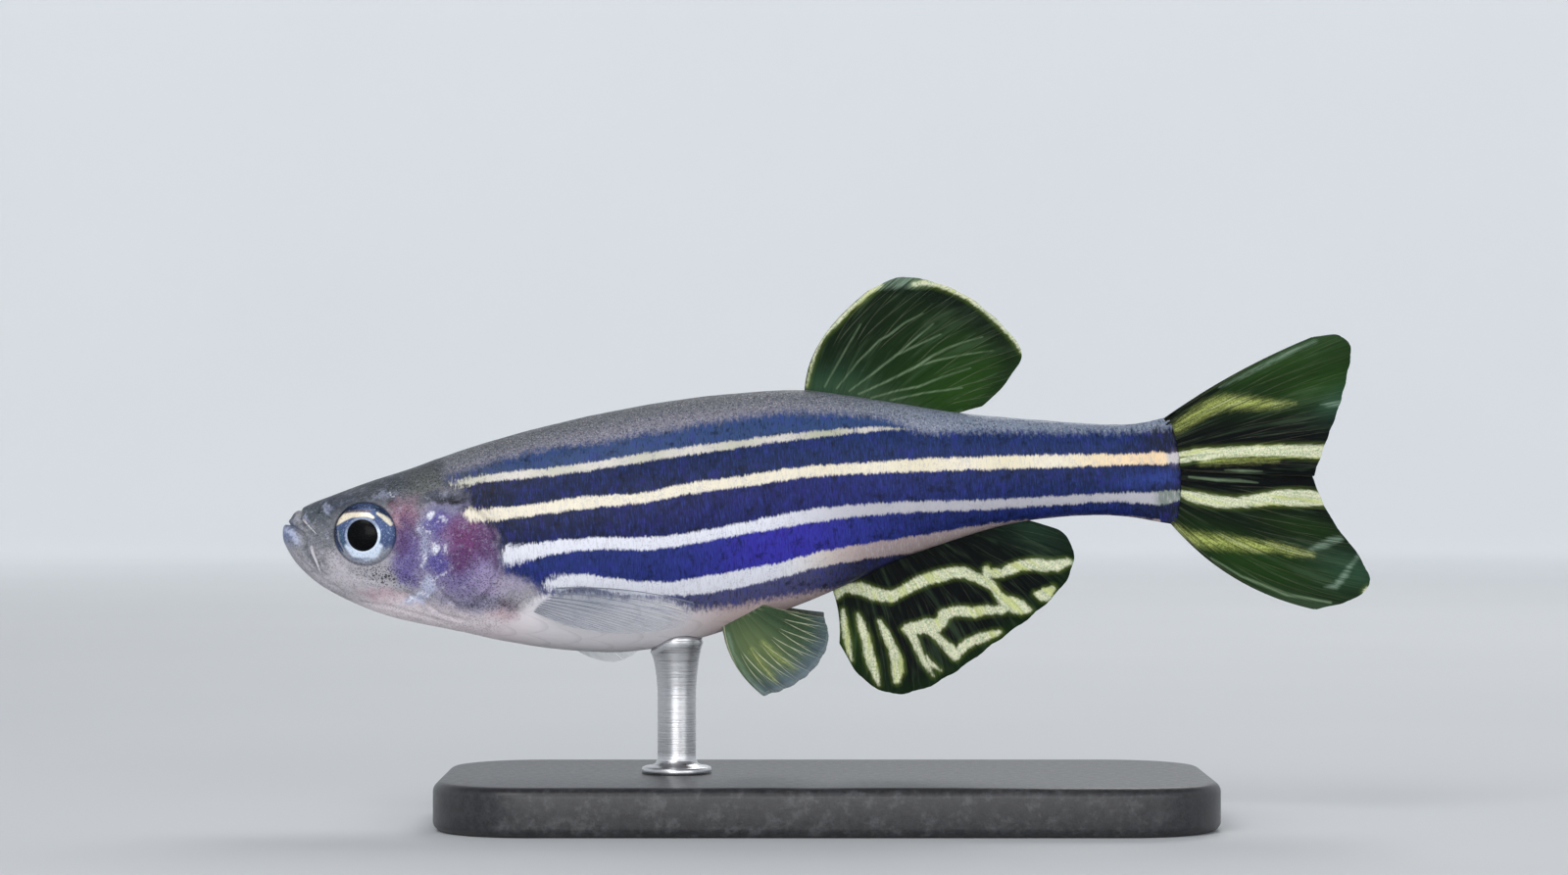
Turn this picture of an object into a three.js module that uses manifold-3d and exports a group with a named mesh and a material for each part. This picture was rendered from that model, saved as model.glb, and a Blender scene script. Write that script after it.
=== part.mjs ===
// A life-size still model of an adult zebra danio, a small striped aquarium fish, held in its swimming pose on a
// one-rod display stand. Millimetres, +Z up. The fish faces -X, its left side faces -Y, and the origin is the middle
// of the stand's underside, below the middle of the fish's full length.
//
// The body, head, jaw and fins are first worked out in the fish's own frame: s runs from the snout to the tail along
// X, h is the height along Z, and y is the side. One group then tips that frame nose down and lifts it onto the rod.
import * as THREE from "three";
import { mergeVertices } from "three/addons/utils/BufferGeometryUtils.js";
import Module from "manifold-3d";

const wasm = await Module();
wasm.setup();

// Driving sizes of the fish.
const BODY_LENGTH = 37.4; // snout to the end of the flesh
const NOSE_DOWN_DEG = 4.16;
const GAP = 0.3; // between pieces that touch
const FACES_ROUND = 28; // sides of the body's cross-section
const HEAD_STATIONS = 18;
const TRUNK_STATIONS = 18;
const HEAD_END = 9; // the gill cover's hind edge

// Driving sizes of the stand.
const BASE_LENGTH = 32;
const BASE_WIDTH = 16;
const BASE_HEIGHT = 2;
const BASE_CORNER = 4;
const BASE_CHAMFER = 0.4;
const ROD_RADIUS = 0.8;
const ROD_AT = 16; // station of the rod, below the fish's centre of mass
const BELLY_CLEARANCE = 5; // from the base's top to the lowest point of the belly

// Outline of the body: [station, height] of the back, the belly and the widest line, and [station, half width].
const BACK = [
  [0, 0.05], [0.19, 0.42], [0.46, 0.76], [0.8, 1.02], [1.3, 1.24], [2.23, 1.52], [3.9, 2.0], [5.56, 2.4],
  [7.3, 2.9], [10.5, 3.6], [13.8, 4.12], [17.2, 4.45], [20.4, 4.52], [22.2, 4.42], [25.2, 3.78], [28.5, 3.02],
  [31.7, 2.5], [34.5, 2.12], [36, 2.08], [37.4, 2.25],
];
const BELLY = [
  [0, -0.05], [0.12, -0.55], [0.5, -1.25], [1.24, -2.05], [2.7, -3.02], [4.3, -3.75], [6.7, -4.45], [9.1, -5.15],
  [11.5, -5.66], [13.9, -5.9], [16.4, -5.68], [18.9, -5.1], [21.4, -4.42], [23.3, -3.75], [25.4, -2.92],
  [27.5, -2.33], [30, -1.78], [32.4, -1.62], [34.6, -1.74], [37.4, -2.3],
];
const WIDEST = [[0, 0], [2, -0.5], [5, -0.6], [9, -0.5], [14, -0.2], [20, 0.2], [26, 0.5], [32, 0.4], [37.4, 0]];
const HALF_WIDTH = [
  [0, 0.1], [0.15, 0.48], [0.6, 0.82], [1.3, 1.12], [2.3, 1.5], [3.6, 1.92], [5.2, 2.22], [7, 2.45], [9, 2.6],
  [12, 2.75], [16, 2.66], [20, 2.3], [24, 1.82], [28, 1.38], [32, 1.02], [35, 0.76], [36.6, 0.55], [37.4, 0.42],
];
const BACK_ROUNDNESS = 0.92; // power on the sine of the section's angle: 1 is an ellipse, less is fuller
const BELLY_ROUNDNESS = 0.86;

// Gill cover, drawn on the side of the head as [station, height], from its upper front corner round its hind edge.
const GILL_COVER = [
  [5.95, 0.45], [7.0, 0.85], [8.0, 0.7], [8.72, 0.05], [9.0, -0.9], [8.95, -2.0], [8.45, -2.95], [7.5, -3.6],
  [6.4, -3.6], [5.85, -2.6], [6.1, -1.1],
];
const GILL_COVER_PROUD = 0.14;
const GILL_COVER_DEPTH = 0.7;
const THROAT_HALF = 1.0; // half width of the throat between the two gill covers
// The head ends along the gill opening: a line from the nape, round the gill cover's hind edge, to the throat.
const HEAD_EDGE = [
  [6.6, 6], [6.9, 1.6], [7.6, 1.0], [8.35, 0.65], [8.95, -0.1], [9.18, -0.95], [9.12, -2.1], [8.6, -3.15],
  [7.6, -3.9], [7.1, -4.6], [7.0, -7],
];
const TAIL_CUT = 29.9; // station where the tail stalk begins, behind the anal fin's base

// Mouth: [station, height] of the gape, from the tip of the snout to its corner, and then down behind the lower jaw.
const GAPE = [[-0.6, 0.98], [0.25, 0.5], [0.85, 0.08], [1.22, -0.5]];
const JAW_BACK = [[1.5, -1.3], [2.0, -2.2], [2.5, -3.6]];
const UPPER_LIP = { radius: 0.2, tip: [0.56, 0.74] };
const LOWER_LIP = { radius: 0.26, tip: [0.25, 0.2] };

// Eye: its centre on the side of the head, and its shape.
const EYE_AT = [3.5, -0.28];
const EYE_RADIUS = 1.36;
const EYE_DEPTH = 1.0; // half of its thickness
const EYE_PROUD = 0.2; // how far its pole stands out of the head
const EYE_FORWARD_DEG = 13;
const NOSTRIL_AT = [1.95, 0.95];
const NOSTRIL_RADIUS = 0.3;

// Fins. All are membranes this thick, with their rays raised on both faces, and thin towards the edge.
const MEMBRANE = 0.5;
const RAY_HEIGHT = 0.12; // of a ray's ridge over the membrane, on each face
const EDGE_SHARE = 0.6; // thickness of the outer edge, as a share of the membrane's
const ROOT_SUNK = 0.7; // how deep a fin's grid starts below the skin before it is cut clear of it

const COLOURS = {
  skin: { color: 0x6f7a96, roughness: 0.4, metalness: 0.15 },
  throat: { color: 0xd8c9c8, roughness: 0.45, metalness: 0.05 },
  gill: { color: 0x8f6a9c, roughness: 0.35, metalness: 0.2 },
  eye: { color: 0xd9dfe6, roughness: 0.15, metalness: 0.1 },
  fin: { color: 0x6e7f62, roughness: 0.5, metalness: 0 },
  base: { color: 0x2b2a2c, roughness: 0.5, metalness: 0 },
  rod: { color: 0xb9bbbf, roughness: 0.3, metalness: 1 },
};

// A smooth curve through [x, value] points, by cubic pieces with the slopes of their neighbours. The root of x is
// what it runs along, so that the snout comes out round.
function profile(points) {
  const at = points.map(([x]) => Math.sqrt(x));
  const slope = points.map((_, i) => {
    const a = Math.max(i - 1, 0);
    const b = Math.min(i + 1, points.length - 1);
    return (points[b][1] - points[a][1]) / (at[b] - at[a]);
  });
  return (x) => {
    const r = Math.sqrt(Math.min(Math.max(x, 0), points.at(-1)[0]));
    const i = Math.min(Math.max(at.findIndex((v) => v > r) - 1, 0), points.length - 2);
    const k = r >= at.at(-1) ? points.length - 2 : i;
    const width = at[k + 1] - at[k];
    const t = (r - at[k]) / width;
    const [p, q] = [points[k][1], points[k + 1][1]];
    const [m, n] = [slope[k] * width, slope[k + 1] * width];
    return p + t * (m + t * (3 * (q - p) - 2 * m - n + t * (2 * (p - q) + m + n)));
  };
}
const backAt = profile(BACK);
const bellyAt = profile(BELLY);
const widestAt = profile(WIDEST);
const halfWidthAt = profile(HALF_WIDTH);

// A point of the body's section at station s. The angle runs from the back, 0, over the +Y side, to the belly, pi.
function skinPoint(s, angle, grow = 0) {
  const waist = widestAt(s);
  const across = Math.sin(angle);
  const up = Math.cos(angle);
  const roundness = up > 0 ? BACK_ROUNDNESS : BELLY_ROUNDNESS;
  const reach = up > 0 ? backAt(s) + grow - waist : waist - (bellyAt(s) - grow);
  const y = (halfWidthAt(s) + grow) * Math.sign(across) * Math.abs(across) ** roundness;
  return new THREE.Vector3(s, y, waist + reach * up);
}

// The half width of the body at station s and height h, 0 where it is outside.
function sideAt(s, h, grow = 0) {
  const waist = widestAt(s);
  const reach = h > waist ? backAt(s) + grow - waist : waist - (bellyAt(s) - grow);
  const up = Math.abs(h - waist) / reach;
  if (up >= 1) return 0;
  return (halfWidthAt(s) + grow) * Math.sqrt(1 - up * up) ** (h > waist ? BACK_ROUNDNESS : BELLY_ROUNDNESS);
}

// The outward direction of the skin at station s and height h, on side +1 or -1.
function skinNormal(s, h, side) {
  const step = 0.15;
  const alongS = (sideAt(s + step, h) - sideAt(Math.max(s - step, 0), h)) / (s + step - Math.max(s - step, 0));
  const alongH = (sideAt(s, h + step) - sideAt(s, h - step)) / (2 * step);
  return new THREE.Vector3(-alongS, side, -alongH).normalize();
}

// A manifold-3d solid from points and triangles.
function solidOf(points, triangles) {
  const vertProperties = new Float32Array(points.flatMap((p) => [p.x, p.y, p.z]));
  const made = new wasm.Manifold(
    new wasm.Mesh({ numProp: 3, vertProperties, triVerts: new Uint32Array(triangles.flat()) }),
  );
  return made;
}

// A manifold-3d solid from a three.js geometry.
function solidOfGeometry(geometry) {
  const plain = new THREE.BufferGeometry().setAttribute("position", geometry.getAttribute("position"));
  plain.setIndex(geometry.index);
  const merged = mergeVertices(plain, 1e-4);
  return new wasm.Manifold(
    new wasm.Mesh({
      numProp: 3,
      vertProperties: new Float32Array(merged.attributes.position.array),
      triVerts: new Uint32Array(merged.index.array),
    }),
  );
}

// The largest closed surface of a solid, which drops loose scraps.
function largest(solid) {
  return solid.decompose().reduce((a, b) => (b.volume() > a.volume() ? b : a));
}

// A closed tube through rings of equally many points, with a point at each end as its cap.
function tubeSolid(rings, start, end) {
  const count = rings[0].length;
  const points = [...rings.flat(), start, end];
  const triangles = [];
  const last = (rings.length - 1) * count;
  for (let j = 0; j < count; j++) {
    const k = (j + 1) % count;
    triangles.push([points.length - 2, j, k], [points.length - 1, last + k, last + j]);
    for (let i = 0; i < last; i += count) {
      triangles.push([i + j, i + count + j, i + k], [i + k, i + count + j, i + count + k]);
    }
  }
  return solidOf(points, triangles);
}

// The whole body, or one that stands grow mm out of it all over.
function bodySolid(grow = 0) {
  const stations = [];
  for (let i = 1; i <= HEAD_STATIONS; i++) stations.push(HEAD_END * (i / HEAD_STATIONS) ** 1.7);
  for (let i = 1; i <= TRUNK_STATIONS; i++) {
    stations.push(HEAD_END + (BODY_LENGTH - HEAD_END) * (i / TRUNK_STATIONS));
  }
  const rings = stations.map((s) => {
    const shift = grow * (s / BODY_LENGTH) * 2 - grow;
    return Array.from({ length: FACES_ROUND }, (_, j) => {
      const p = skinPoint(s, (2 * Math.PI * j) / FACES_ROUND, grow);
      return p.setX(s + shift);
    });
  });
  return tubeSolid(rings, new THREE.Vector3(-grow, 0, 0), new THREE.Vector3(BODY_LENGTH + grow, 0, 0));
}

// A prism with a drawn side outline, from side y0 to y1.
function prism(outline, y0, y1) {
  const shape = new THREE.Shape(outline.map(([s, h]) => new THREE.Vector2(s, h)));
  const geometry = new THREE.ExtrudeGeometry(shape, { depth: y1 - y0, bevelEnabled: false, steps: 1 });
  geometry.rotateX(Math.PI / 2);
  geometry.translate(0, y1, 0);
  return solidOfGeometry(geometry);
}

// A line of [s, h] points moved sideways by d, to its right when it runs along +s.
function moved(line, d) {
  return line.map(([s, h], i) => {
    const [a, b] = [line[Math.max(i - 1, 0)], line[Math.min(i + 1, line.length - 1)]];
    const length = Math.hypot(b[0] - a[0], b[1] - a[1]);
    return [s + (d * (b[1] - a[1])) / length, h - (d * (b[0] - a[0])) / length];
  });
}

// A closed outline grown outwards by d. The outline runs clockwise, seen with s to the right and h up.
function grown(outline, d) {
  const count = outline.length;
  return outline.map(([s, h], i) => {
    const [a, b] = [outline[(i + count - 1) % count], outline[(i + 1) % count]];
    const length = Math.hypot(b[0] - a[0], b[1] - a[1]);
    return [s - (d * (b[1] - a[1])) / length, h + (d * (b[0] - a[0])) / length];
  });
}

// A smooth line with more points through drawn ones.
function smooth(line, count, closed = false) {
  const curve = new THREE.CatmullRomCurve3(line.map(([s, h]) => new THREE.Vector3(s, 0, h)), closed, "centripetal");
  const points = curve.getPoints(count).map((p) => [p.x, p.z]);
  return closed ? points.slice(0, -1) : points;
}

// A round rod along points, with pointed ends. radiusAt gives its radius from the share of its length.
function feelerSolid(path, radiusAt, sides = 8, steps = 7) {
  const curve = new THREE.CatmullRomCurve3(path, false, "centripetal");
  const frames = curve.computeFrenetFrames(steps, false);
  const rings = Array.from({ length: steps + 1 }, (_, i) => {
    const centre = curve.getPointAt(i / steps);
    const radius = radiusAt(i / steps);
    return Array.from({ length: sides }, (_, j) => {
      const turn = (-2 * Math.PI * j) / sides;
      return centre
        .clone()
        .addScaledVector(frames.normals[i], radius * Math.cos(turn))
        .addScaledVector(frames.binormals[i], radius * Math.sin(turn));
    });
  });
  const start = curve.getPointAt(0).addScaledVector(frames.tangents[0], -radiusAt(0) * 0.8);
  const end = curve.getPointAt(1).addScaledVector(frames.tangents[steps], radiusAt(1) * 0.8);
  return tubeSolid(rings, start, end);
}

// An ellipsoid with half sizes, turned and placed.
function ellipsoid(size, at, turn = new THREE.Euler(), around = 18, along = 10) {
  const geometry = new THREE.SphereGeometry(1, around, along);
  geometry.scale(size.x, size.y, size.z);
  geometry.applyMatrix4(new THREE.Matrix4().makeRotationFromEuler(turn).setPosition(at));
  return solidOfGeometry(geometry);
}

// The whole fish's outer body, and the clear space that every fin and feeler keeps to it.
const body = bodySolid();
const bodyClear = bodySolid(GAP);

// Eyes: flat balls that look outwards and a little forward.
function eyeSolid(side, grow = 0) {
  const [s, h] = EYE_AT;
  const size = new THREE.Vector3(EYE_RADIUS + grow, EYE_DEPTH + grow, EYE_RADIUS + grow);
  const centre = new THREE.Vector3(s, side * (sideAt(s, h) + EYE_PROUD - EYE_DEPTH), h);
  const turn = new THREE.Euler(0, 0, side * THREE.MathUtils.degToRad(EYE_FORWARD_DEG));
  return ellipsoid(size, centre, turn);
}

// Gill covers: thin curved plates that stand a little proud of the head, between it and the gill opening.
const gillOutline = smooth(GILL_COVER, 30, true);
const gillPrism = (side, outline, inner) =>
  prism(outline, Math.min(inner * side, 6 * side), Math.max(inner * side, 6 * side));
function gillCoverSolid(side) {
  const shell = bodySolid(GILL_COVER_PROUD).subtract(bodySolid(-GILL_COVER_DEPTH));
  return largest(shell.intersect(gillPrism(side, gillOutline, THROAT_HALF + GAP)));
}
function gillBed(side) {
  const outline = grown(gillOutline, GAP);
  return gillPrism(side, outline, THROAT_HALF).subtract(bodySolid(-GILL_COVER_DEPTH - GAP));
}

// The lower jaw: all that lies below the gape and in front of the line behind the jaw.
const jawLine = smooth([...GAPE, ...JAW_BACK], 16);
const jawSide = (line) => prism([...line, [-3, line.at(-1)[1] - 1], [-3, line[0][1]]], -4, 4);
const jawRegion = jawSide(moved(jawLine, GAP / 2));
const headRegionCut = jawSide(moved(jawLine, -GAP / 2));

// A lip: a soft roll round the snout, along the gape, on the upper (-1) or the lower (+1) side of it.
function lipSolid({ radius, tip }, below) {
  const line = smooth(moved(GAPE, below * (GAP / 2 + radius * 0.7)).slice(1), 5).filter(([s]) => s > tip[0] + 0.1);
  const half = line.map(([s, h]) => new THREE.Vector3(s, sideAt(s, h) - radius * 0.4, h));
  const left = [...half].reverse().map((p) => new THREE.Vector3(p.x, -p.y, p.z));
  const radiusAt = (t) => radius * (0.45 + 0.55 * Math.sin(Math.PI * t) ** 0.7);
  return feelerSolid([...left, new THREE.Vector3(tip[0], 0, tip[1]), ...half], radiusAt, 8, 18);
}
const headLine = smooth(HEAD_EDGE, 28);
const headRegion = prism([[-3, 6], ...headLine, [-3, -7]], -6, 6);
const notTrunk = prism([[-3, 6], ...moved(headLine, -GAP), [-3, -7]], -6, 6);

function headSolid() {
  let head = body.intersect(headRegion).add(lipSolid(UPPER_LIP, -1)).subtract(headRegionCut);
  for (const side of [-1, 1]) {
    const [s, h] = NOSTRIL_AT;
    const nostril = new THREE.Vector3(s, side * sideAt(s, h), h);
    head = head.subtract(gillBed(side)).subtract(eyeSolid(side, GAP));
    head = head.subtract(
      ellipsoid(new THREE.Vector3(NOSTRIL_RADIUS * 1.3, NOSTRIL_RADIUS, NOSTRIL_RADIUS), nostril, undefined, 10, 6),
    );
  }
  return largest(head);
}

function jawSolid() {
  return largest(body.add(lipSolid(LOWER_LIP, 1)).intersect(jawRegion));
}

// A fin: rays fan out from a root line to an outline. Each is a curve that bows to one side, with a ridge on both
// faces of the membrane between them. place(u, v) gives the middle surface, u across the rays and v along them.
function finSolid({ rays, rows, place, crestEdge = 0 }) {
  const columns = [];
  for (let i = 0; i < rays - 1; i++) columns.push([i, 1], [i + 0.3, 0], [i + 0.7, 0]);
  columns.push([rays - 1, 1]);
  const grid = columns.map(([ray, crest]) => {
    const u = ray / (rays - 1);
    return Array.from({ length: rows + 1 }, (_, j) => {
      const v = j / rows;
      const thin = 1 - (1 - EDGE_SHARE) * v ** 2;
      const ridge = crest * RAY_HEIGHT * (1 - (1 - crestEdge) * v);
      return { at: place(u, v), half: (MEMBRANE / 2) * thin + ridge };
    });
  });
  const [across, along] = [grid.length, rows + 1];
  const point = (i, j) => grid[Math.min(Math.max(i, 0), across - 1)][Math.min(Math.max(j, 0), rows)].at;
  const faces = [[], []];
  for (let i = 0; i < across; i++) {
    for (let j = 0; j < along; j++) {
      const a = point(i + 1, j).clone().sub(point(i - 1, j));
      const b = point(i, j + 1).clone().sub(point(i, j - 1));
      const normal = a.cross(b).normalize();
      faces[0].push(grid[i][j].at.clone().addScaledVector(normal, grid[i][j].half));
      faces[1].push(grid[i][j].at.clone().addScaledVector(normal, -grid[i][j].half));
    }
  }
  const count = across * along;
  const triangles = [];
  for (let i = 0; i < across - 1; i++) {
    for (let j = 0; j < rows; j++) {
      const [a, b, c, d] = [i * along + j, (i + 1) * along + j, (i + 1) * along + j + 1, i * along + j + 1];
      triangles.push([a, b, c], [a, c, d], [count + a, count + c, count + b], [count + a, count + d, count + c]);
    }
  }
  // The four edges, as one closed loop of grid points.
  const loop = [];
  for (let i = 0; i < across - 1; i++) loop.push(i * along);
  for (let j = 0; j < rows; j++) loop.push((across - 1) * along + j);
  for (let i = across - 1; i > 0; i--) loop.push(i * along + rows);
  for (let j = rows; j > 0; j--) loop.push(j);
  loop.forEach((a, i) => {
    const b = loop[(i + 1) % loop.length];
    triangles.push([a, count + a, b], [b, count + a, count + b]);
  });
  const made = solidOf([...faces[0], ...faces[1]], triangles);
  return made.volume() > 0 ? made : solidOf([...faces[0], ...faces[1]], triangles.map(([a, b, c]) => [a, c, b]));
}

// A point on a ray that runs from root to tip and bows sideways by a share of its length. All are [s, h].
function onRay(root, tip, bow, v) {
  const [ds, dh] = [tip[0] - root[0], tip[1] - root[1]];
  const side = 4 * v * (1 - v) * bow;
  return [root[0] + ds * v - dh * side, root[1] + dh * v + ds * side];
}

// A smooth line through drawn points, as a function of the share of its length.
function lineAt(line) {
  const curve = new THREE.CatmullRomCurve3(line.map(([s, h, y = 0]) => new THREE.Vector3(s, y, h)), false, "centripetal");
  return (u) => curve.getPointAt(Math.min(Math.max(u, 0), 1));
}

// A fin on the middle line. root and tips are drawn as [s, h]; the membrane sways a little to one side and back.
function medianFin({ rays, rows, root, tips, bow, sway }) {
  const [rootAt, tipAt] = [lineAt(root), lineAt(tips)];
  const place = (u, v) => {
    const [r, t] = [rootAt(u), tipAt(u)];
    const [s, h] = onRay([r.x, r.z], [t.x, t.z], bow[0] + (bow[1] - bow[0]) * u, v);
    return new THREE.Vector3(s, sway * v * v * Math.sin(Math.PI * (0.4 + 1.3 * u)), h);
  };
  return largest(finSolid({ rays, rows, place }).subtract(bodyClear));
}

const DORSAL = {
  rays: 10,
  rows: 6,
  root: [[22.1, 4.45 - ROOT_SUNK], [24.6, 3.95 - ROOT_SUNK], [27.0, 3.34 - ROOT_SUNK]],
  tips: [
    [25.1, 8.42], [26.35, 8.84], [27.6, 8.6], [29, 7.92], [30, 7.05], [30.8, 6.1], [31.2, 5.3], [30.7, 4.45],
    [30.0, 3.7], [29.4, 3.25],
  ],
  bow: [0.16, 0.03],
  sway: 0.25,
};
const ANAL = {
  rays: 14,
  rows: 6,
  root: [[22.5, -4.0 + ROOT_SUNK], [25.4, -2.92 + ROOT_SUNK], [29.4, -1.85 + ROOT_SUNK]],
  tips: [
    [22.75, -6.2], [23.5, -7.6], [24.65, -8.4], [26.0, -8.35], [27.4, -7.75], [29.2, -6.65], [31.3, -5.3],
    [32.6, -3.6], [32.5, -2.5],
  ],
  bow: [0.07, 0.05],
  sway: -0.25,
};
const CAUDAL_UPPER = {
  rays: 10,
  rows: 6,
  root: [[36.9, 2.1], [37.0, 0.17]],
  tips: [
    [43.4, 5.12], [44.45, 5.1], [44.87, 4.6], [44.62, 3.4], [44.15, 2.1], [43.4, 0.5], [42.9, -0.5],
  ],
  bow: [0.03, 0],
  sway: 0.3,
};
const CAUDAL_LOWER = {
  rays: 9,
  rows: 6,
  root: [[37.0, -0.17], [36.9, -2.15]],
  tips: [
    [42.9, -0.84], [43.3, -1.9], [43.9, -3.1], [44.5, -4.0], [44.9, -5.3], [44.15, -5.88], [42.6, -6.2],
  ],
  bow: [0, -0.085],
  sway: 0.3,
};

// The pelvic fins hang from the belly and open a little to each side.
const PELVIC = {
  rays: 8,
  rows: 5,
  root: [[18.0, -5.3 + ROOT_SUNK, 0.75], [19.5, -4.95 + ROOT_SUNK, 1.05]],
  tips: [
    [19.5, -8.05, 1.5], [20.6, -7.72, 2.1], [21.7, -6.95, 2.6], [22.3, -5.9, 2.85], [22.2, -4.95, 2.75],
  ],
  bow: [-0.12, -0.02],
};
// The pectoral fins: the left one lies back along the flank, and the right one is held out and down.
const PECTORAL_LEFT = {
  rays: 11,
  rows: 6,
  root: [[9.75, -3.0, 2.1], [10.1, -3.75, 1.9]],
  tips: [
    [17.0, -3.95, 3.55], [16.6, -4.75, 3.4], [15.2, -5.0, 3.2], [13.5, -4.95, 3.0], [12.0, -4.6, 2.8],
  ],
  bow: [0.05, -0.02],
};
const PECTORAL_RIGHT = {
  rays: 11,
  rows: 6,
  root: [[9.75, -3.0, 2.1], [10.1, -3.75, 1.9]],
  tips: [
    [14.8, -5.5, 5.3], [14.2, -6.15, 4.9], [13.3, -6.5, 4.5], [12.4, -6.3, 4.0], [11.5, -5.75, 3.4],
  ],
  bow: [0.05, -0.02],
};

// A fin of a pair. Its root and tips have the distance from the middle as a third number.
function pairedFin({ rays, rows, root, tips, bow }, side) {
  const [rootAt, tipAt] = [lineAt(root), lineAt(tips)];
  const place = (u, v) => {
    const [r, t] = [rootAt(u), tipAt(u)];
    const [s, h] = onRay([r.x, r.z], [t.x, t.z], bow[0] + (bow[1] - bow[0]) * u, v);
    return new THREE.Vector3(s, side * (r.y + (t.y - r.y) * v), h);
  };
  return largest(finSolid({ rays, rows, place }).subtract(bodyClear));
}

// Barbels: the long pair hangs back from the corners of the mouth, the short pair lies on the snout.
const MOUTH_BARBEL = [[1.28, -0.5], [1.38, -0.75], [1.55, -1.2], [1.72, -1.65], [1.86, -2.05]];
const NOSE_BARBEL = [[1.0, 0.56], [1.14, 0.46], [1.34, 0.3], [1.54, 0.12], [1.72, -0.06]];
const BARBEL_RADIUS = 0.22;
const BARBEL_TIP = 0.08;
const BARBEL_LIFT = [-0.1, GAP + 0.2, GAP + 0.24, GAP + 0.2, GAP + 0.16]; // of each point of the line, off the skin
function barbelSolid(line, side) {
  const path = line.map(([s, h], i) => {
    const skin = new THREE.Vector3(s, side * sideAt(s, h), h);
    return skin.addScaledVector(skinNormal(s, h, side), BARBEL_LIFT[i]);
  });
  const radiusAt = (t) => BARBEL_RADIUS + (BARBEL_TIP - BARBEL_RADIUS) * t;
  return largest(feelerSolid(path, radiusAt, 7, 7).subtract(bodyClear));
}

// The fish in its own frame, then tipped nose down and lifted so that the belly clears the base.
const pitch = THREE.MathUtils.degToRad(NOSE_DOWN_DEG);
const lowest = Math.min(
  ...Array.from({ length: 100 }, (_, i) => {
    const s = (BODY_LENGTH * i) / 100;
    return s * Math.sin(pitch) + bellyAt(s) * Math.cos(pitch);
  }),
);
const fish = new THREE.Group();
fish.rotation.y = -pitch;
fish.position.z = BASE_HEIGHT + BELLY_CLEARANCE - lowest;

function meshOf(name, solid, look) {
  const made = solid.getMesh();
  const positions = new Float32Array(made.numVert * 3);
  for (let i = 0; i < made.numVert; i++) {
    positions.set(made.vertProperties.subarray(i * made.numProp, i * made.numProp + 3), i * 3);
  }
  const geometry = new THREE.BufferGeometry();
  geometry.setAttribute("position", new THREE.BufferAttribute(positions, 3));
  geometry.setIndex(new THREE.BufferAttribute(new Uint32Array(made.triVerts), 1));
  geometry.computeVertexNormals();
  const mesh = new THREE.Mesh(geometry, new THREE.MeshStandardMaterial(look));
  mesh.name = name;
  return mesh;
}

const trunk = body.subtract(notTrunk);
fish.add(
  meshOf("head", headSolid(), COLOURS.skin),
  meshOf("lower_jaw", jawSolid(), COLOURS.throat),
  meshOf("trunk", largest(trunk.trimByPlane([-1, 0, 0], -(TAIL_CUT - GAP / 2))), COLOURS.skin),
  meshOf("tail_stalk", largest(body.trimByPlane([1, 0, 0], TAIL_CUT + GAP / 2)), COLOURS.skin),
  meshOf("dorsal_fin", medianFin(DORSAL), COLOURS.fin),
  meshOf("anal_fin", medianFin(ANAL), COLOURS.fin),
  meshOf("caudal_fin_upper", medianFin(CAUDAL_UPPER), COLOURS.fin),
  meshOf("caudal_fin_lower", medianFin(CAUDAL_LOWER), COLOURS.fin),
  meshOf("pectoral_fin_left", pairedFin(PECTORAL_LEFT, -1), COLOURS.fin),
  meshOf("pectoral_fin_right", pairedFin(PECTORAL_RIGHT, 1), COLOURS.fin),
);
for (const [side, word] of [[-1, "left"], [1, "right"]]) {
  fish.add(
    meshOf("gill_cover_" + word, gillCoverSolid(side), COLOURS.gill),
    meshOf("eye_" + word, eyeSolid(side), COLOURS.eye),
    meshOf("pelvic_fin_" + word, pairedFin(PELVIC, side), COLOURS.fin),
    meshOf("mouth_barbel_" + word, barbelSolid(MOUTH_BARBEL, side), COLOURS.throat),
    meshOf("nose_barbel_" + word, barbelSolid(NOSE_BARBEL, side), COLOURS.throat),
  );
}

// The fish's full length is centred over the origin.
const box = new THREE.Box3().setFromObject(fish, true);
fish.position.x = -(box.min.x + box.max.x) / 2;
fish.updateMatrixWorld(true);

// The stand: a flat base with round corners, and a rod whose top is cut to the belly.
function baseGeometry() {
  const [x, y] = [BASE_LENGTH / 2 - BASE_CHAMFER, BASE_WIDTH / 2 - BASE_CHAMFER];
  const r = BASE_CORNER;
  const shape = new THREE.Shape();
  shape.moveTo(-x + r, -y);
  shape.lineTo(x - r, -y);
  shape.absarc(x - r, -y + r, r, -Math.PI / 2, 0);
  shape.lineTo(x, y - r);
  shape.absarc(x - r, y - r, r, 0, Math.PI / 2);
  shape.lineTo(-x + r, y);
  shape.absarc(-x + r, y - r, r, Math.PI / 2, Math.PI);
  shape.lineTo(-x, -y + r);
  shape.absarc(-x + r, -y + r, r, Math.PI, Math.PI * 1.5);
  const geometry = new THREE.ExtrudeGeometry(shape, {
    depth: BASE_HEIGHT - 2 * BASE_CHAMFER,
    curveSegments: 6,
    bevelSize: BASE_CHAMFER,
    bevelThickness: BASE_CHAMFER,
    bevelSegments: 1,
  });
  return geometry.translate(0, 0, BASE_CHAMFER);
}

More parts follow.
